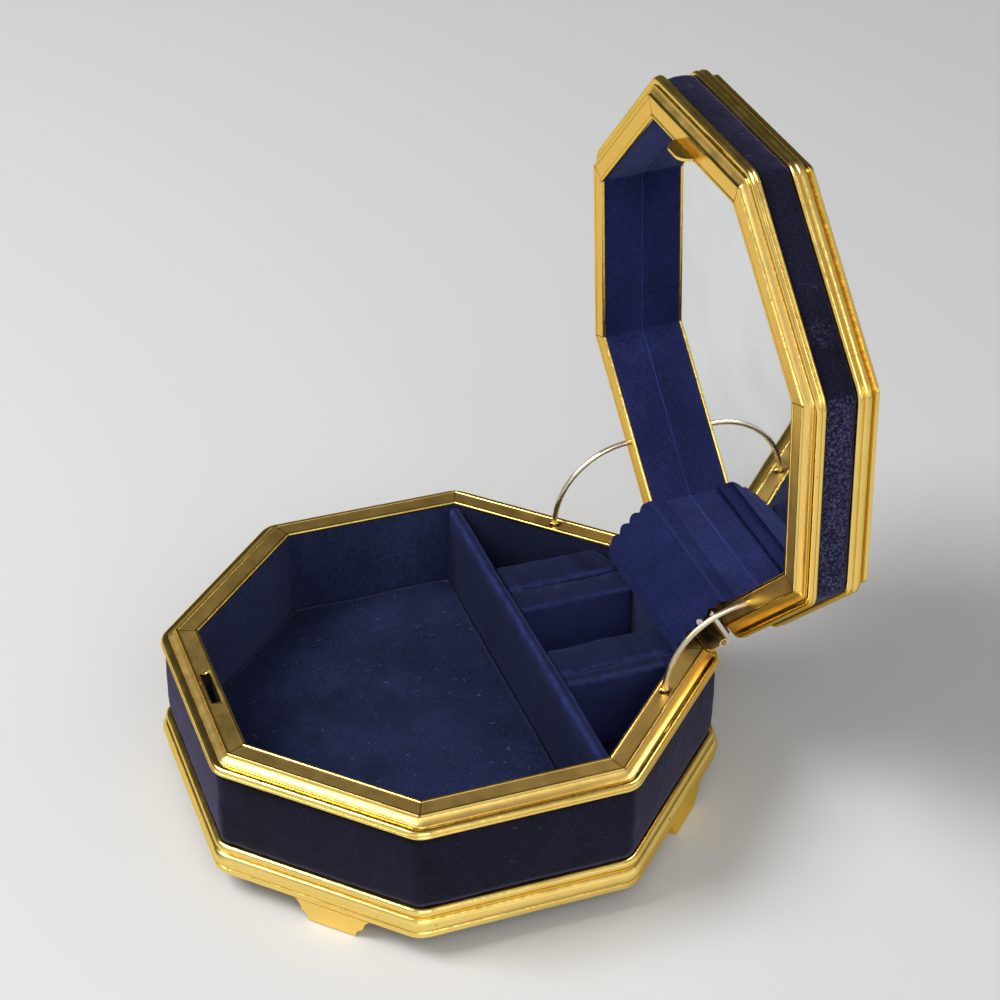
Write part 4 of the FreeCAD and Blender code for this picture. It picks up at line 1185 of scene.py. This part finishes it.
# %% Ring rolls
ROLL_FOOT = 19.5        # mm, on the tray
ROLL_FRONT = 32.8       # mm from the middle
ROLL_BACK = 72.4
ROLL_WALL = 73.2        # mm from the middle to the slanted wall behind a roll
ROLL_GAP = 0.6          # mm left before that wall
ROLL_INSET = 0.1        # mm, the skin starts inside the solid
ROLL_ROUNDING = 0.42    # mm, how far the corners of the front end are drawn back
ring_rolls = []
for name in ("ring_roll_1", "ring_roll_2", "ring_roll_3", "ring_roll_4"):
    low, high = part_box(name)
    left, right = low.x / MM, high.x / MM
    top = high.z / MM

    def roll_ends(u, z, left=left, right=right):
        """A roll starts at the partition and stops at the back or slanted wall."""
        stop = min(ROLL_BACK, ROLL_WALL * math.sqrt(2) - abs(u) - ROLL_GAP)
        round_off = ROLL_ROUNDING * (abs(2 * (u - left) / (right - left) - 1)) ** 4
        return ROLL_FRONT + round_off, stop

    outline = rounded_bar(ROLL_FOOT, top, left + ROLL_INSET, right - ROLL_INSET,
                          radius=1.7, waist=0.3)
    # the rolls get painted shade on top and painted light down their flanks
    roll = bar_along(name + "_velvet", outline, roll_ends, along_x=False,
                     material=roll_velvet_painted_shade, steps=44, painted_shade_top=0.55, painted_light_side=1.0)
    ruffle(roll, [(0.018, 0.00045), (0.006, 0.00018)])
    settle(roll, "base", "inner_velvet", name)
    ring_rolls.append(roll)
    print(roll.name, "%.1f mm wide" % (right - left))

# %% [markdown]
# The lid's outside is a padded velvet dome inside the gilt frame. It could be a grid
# like the floor pad, but octagons that shrink towards the crown keep its edge in line
# with the frame. The wadding swells it later.

# %% Padded lid top
DOME_STEPS = 26         # rings from the frame to the crown
DOME_EDGE = 73.6        # mm from the middle, beside the frame
DOME_CENTRE = 0.9       # mm, the last small ring
DOME_CORNER = 2.0       # mm, the corner radius beside the frame
DOME_ROUND = 0.9        # the corner radius near the crown, as a share of the ring
LAST_CORNER = 0.72      # mm, the corner radius of the last ring
DOME_LOW = 23.7         # mm above the hinge, when the lid is shut
DOME_RISE = 2.6         # mm
SKIRT_LOW = 20.55       # mm above the hinge, where the cloth is tucked in
SKIRT_EDGE = 73.7       # mm from the middle


def dome_ring(reach, corner, level):
    """One octagon of the dome at a height (mm)."""
    return [(p.x, p.y, level) for p in octagon(reach, corner, along=14, around=5)]


dome_rings = [dome_ring(SKIRT_EDGE, DOME_CORNER, SKIRT_LOW)]
for k in range(DOME_STEPS + 1):
    share = k / DOME_STEPS
    reach = DOME_EDGE * (1 - share) + DOME_CENTRE * share
    lift = 1 - (1 - share) ** 3.2
    corner = DOME_CORNER + (reach - DOME_CORNER) * DOME_ROUND * share ** 0.7
    if k == DOME_STEPS:
        corner = LAST_CORNER
    corner = min(corner, reach * DOME_ROUND)
    dome_rings.append(dome_ring(reach, corner, DOME_LOW + DOME_RISE * lift))
lid_dome = skin("lid_dome", dome_rings, LID_PLACE, outer_velvet, caps=True)
ruffle(lid_dome, [(0.035, 0.0004), (0.006, 0.00015)])
settle(lid_dome, "lid", "outer_velvet", "lid_top_pad")
print("lid dome", len(lid_dome.data.vertices), "points")

# %% [markdown]
# Wadding pushes velvet outward until the cloth is taut. The pads could be
# sculpted, but a short cloth simulation with pressure inside gives the swell and
# the drawn-in edges by itself. Each pad is held where it is glued, no point may
# move further than a small cap, and the result is written into the mesh.

# %% Swell the pads
def swell(thing, held, cap, pressure, frames=20):
    """Inflates a closed pad as cloth; held(co) picks the points that are glued."""
    mesh = thing.data
    before = [v.co.copy() for v in mesh.vertices]
    glued = thing.vertex_groups.new(name="glued")
    glued.add([v.index for v in mesh.vertices if held(v.co)], 1.0, "REPLACE")
    cloth = thing.modifiers.new("wadding", "CLOTH")
    cloth.settings.quality = 6
    cloth.settings.mass = 0.2
    cloth.settings.tension_stiffness = 12
    cloth.settings.compression_stiffness = 12
    cloth.settings.shear_stiffness = 6
    cloth.settings.bending_stiffness = 0.4
    cloth.settings.use_pressure = True
    cloth.settings.uniform_pressure_force = pressure
    cloth.settings.vertex_group_mass = "glued"
    cloth.settings.effector_weights.gravity = 0
    cloth.collision_settings.use_collision = False
    cloth.point_cache.frame_end = frames
    for frame_number in range(1, frames + 1):
        scene.frame_set(frame_number)
    seen = thing.evaluated_get(bpy.context.evaluated_depsgraph_get())
    after = [v.co.copy() for v in seen.data.vertices]
    thing.modifiers.remove(cloth)
    thing.vertex_groups.remove(glued)
    scene.frame_set(1)
    moved = 0.0
    for vertex, old, new in zip(mesh.vertices, before, after):
        step = new - old
        if step.length > cap:
            step = step.normalized() * cap
        vertex.co = old + step
        moved = max(moved, step.length)
    mesh.update()
    print("%s swelled by up to %.2f mm" % (thing.name, moved / MM))


DOME_GLUED = 0.0239     # m above the hinge: the dome is glued below this
FLOOR_GLUED = 0.0186    # m above the ground: the floor pad is glued below this
ROLL_GLUED = 0.0220     # m above the ground: the rolls are glued below this
from_lid = LID_PLACE.inverted()
swell(lid_dome, lambda co: (from_lid @ co).z < DOME_GLUED, cap=0.0011, pressure=4.0)
swell(floor_cushion, lambda co: co.z < FLOOR_GLUED, cap=0.0006, pressure=4.0)
for roll in ring_rolls:
    swell(roll, lambda co: co.z < ROLL_GLUED, cap=0.0005, pressure=6.0)

# %% [markdown]
# A strip of velvet with pinked ends hides the hinge. It is a sheet held under
# both lips and nearly straight between them. It could be simulated as cloth, but a
# stretched strip hardly hangs, so its path is drawn. It must bend when the lid moves,
# but here its path is drawn for the open lid alone.

# %% Path of the flap
FLAP_LIP = 72.1         # mm from the middle, just inside the lips
FLAP_STEPS = 60
FLAP_BOW = 0.0006       # m, how far it bows out at half length
low_lip = Vector((0, BASE_Y + FLAP_LIP * MM, LEDGE))


def on_open_lid(y, z):
    """Opens a point of the shut lid: y from the octagon's middle, z from the hinge (mm)."""
    return LID_PLACE @ Vector((0, y * MM, z * MM))


high_lip = on_open_lid(FLAP_LIP, 0.2)
flap_path = [
    low_lip + Vector((0, 0, -0.0048)),
    low_lip + Vector((0, 0, -0.0020)),
    low_lip + Vector((0, -0.0001, 0.0009)),
]
for k in range(1, FLAP_STEPS):
    share = k / FLAP_STEPS
    chord = low_lip.lerp(high_lip, share)
    bow = math.sin(math.pi * share) * FLAP_BOW
    flap_path.append(chord + Vector((0, -bow - 0.0002, bow + 0.0009)))
flap_path += [
    high_lip + Vector((0, -0.0009, 0.0002)),
    on_open_lid(FLAP_LIP, 2.4),
    on_open_lid(FLAP_LIP, 4.9),
]

# %% [markdown]
# The sheet is a grid along that path. Its free ends are scalloped, so the width of each
# row follows a row of arches; a cut with a boolean would leave ragged faces.

# %% Hinge flap
FLAP_HALF = 30.9        # mm, half its width
TEETH = 4               # scallops along each end
TOOTH_DEPTH = 2.0       # mm
TUCKED_ROWS = 3         # rows of the path behind each lip
TUCKED_INSET = 0.4      # mm, those rows are narrower
ACROSS = 72
vertices = []
faces = []
for r, point in enumerate(flap_path):
    pinked = TUCKED_ROWS <= r < len(flap_path) - TUCKED_ROWS
    phase = (r - TUCKED_ROWS + 0.5) * TEETH / (len(flap_path) - 2 * TUCKED_ROWS) % 1.0
    tooth = 1 - math.sin(math.pi * phase)
    reach = FLAP_HALF - (TOOTH_DEPTH * tooth if pinked else TUCKED_INSET)
    for i in range(ACROSS + 1):
        x = (2 * i / ACROSS - 1) * reach * MM
        wave = 0.00018 * noise.noise(Vector((x / 0.012, r * 0.08, 3.1)))
        vertices.append(Vector((x, point.y - wave, point.z + wave)))
for r in range(len(flap_path) - 1):
    for i in range(ACROSS):
        a = r * (ACROSS + 1) + i
        faces.append((a, a + 1, a + ACROSS + 2, a + ACROSS + 1))
mesh = bpy.data.meshes.new("hinge_flap")
mesh.from_pydata(vertices, [], faces)
mesh.materials.append(flap_velvet)
for polygon in mesh.polygons:
    polygon.use_smooth = True
hinge_flap = bpy.data.objects.new("hinge_flap", mesh)
scene.collection.objects.link(hinge_flap)
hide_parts("hinge_cover")
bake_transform(hinge_flap)
print("flap", len(vertices), "points")

# %% [markdown]
# Two stays of spring wire keep the lid from falling back. Each is an arc about
# the hinge, so it slides through its hole as the lid turns. A curve with a bevel would
# do, but a skin round the arc is a mesh like the rest.

# %% Lid stays
WIRE = 0.95         # mm, half the thickness of the wire
WIRE_STEPS = 44
WIRE_SIDES = 12
BURIED = math.radians(5)    # the part of the arc that each rim hides
for name, x in (("stay_left", -STAY_X), ("stay_right", STAY_X)):
    rings = []
    start, stop = -BURIED, LID_ANGLE + BURIED
    for k in range(WIRE_STEPS + 1):
        angle = start + (stop - start) * k / WIRE_STEPS
        out = Vector((0, -math.cos(angle), math.sin(angle)))
        ring = []
        for i in range(WIRE_SIDES):
            turn = 2 * math.pi * i / WIRE_SIDES
            reach = STAY_ARM + WIRE * math.cos(turn)
            ring.append((x + WIRE * math.sin(turn), out.y * reach, out.z * reach))
        rings.append(ring)
    stay = skin(name + "_wire", rings, Matrix.Translation(HINGE), wire_metal, caps=True)
    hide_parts(name)
    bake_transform(stay)
print("two stays")

# %% [markdown]
# Below the base a thin velvet-paper closes the bottom. It is flat, so the CAD
# solid stays and only its finish is new.

# %% Paper below
dress("base_paper", inner_velvet)
print("underside paper dressed")

# %% [markdown]
# The last cell marks the end.

# %% Finish
print("the end")
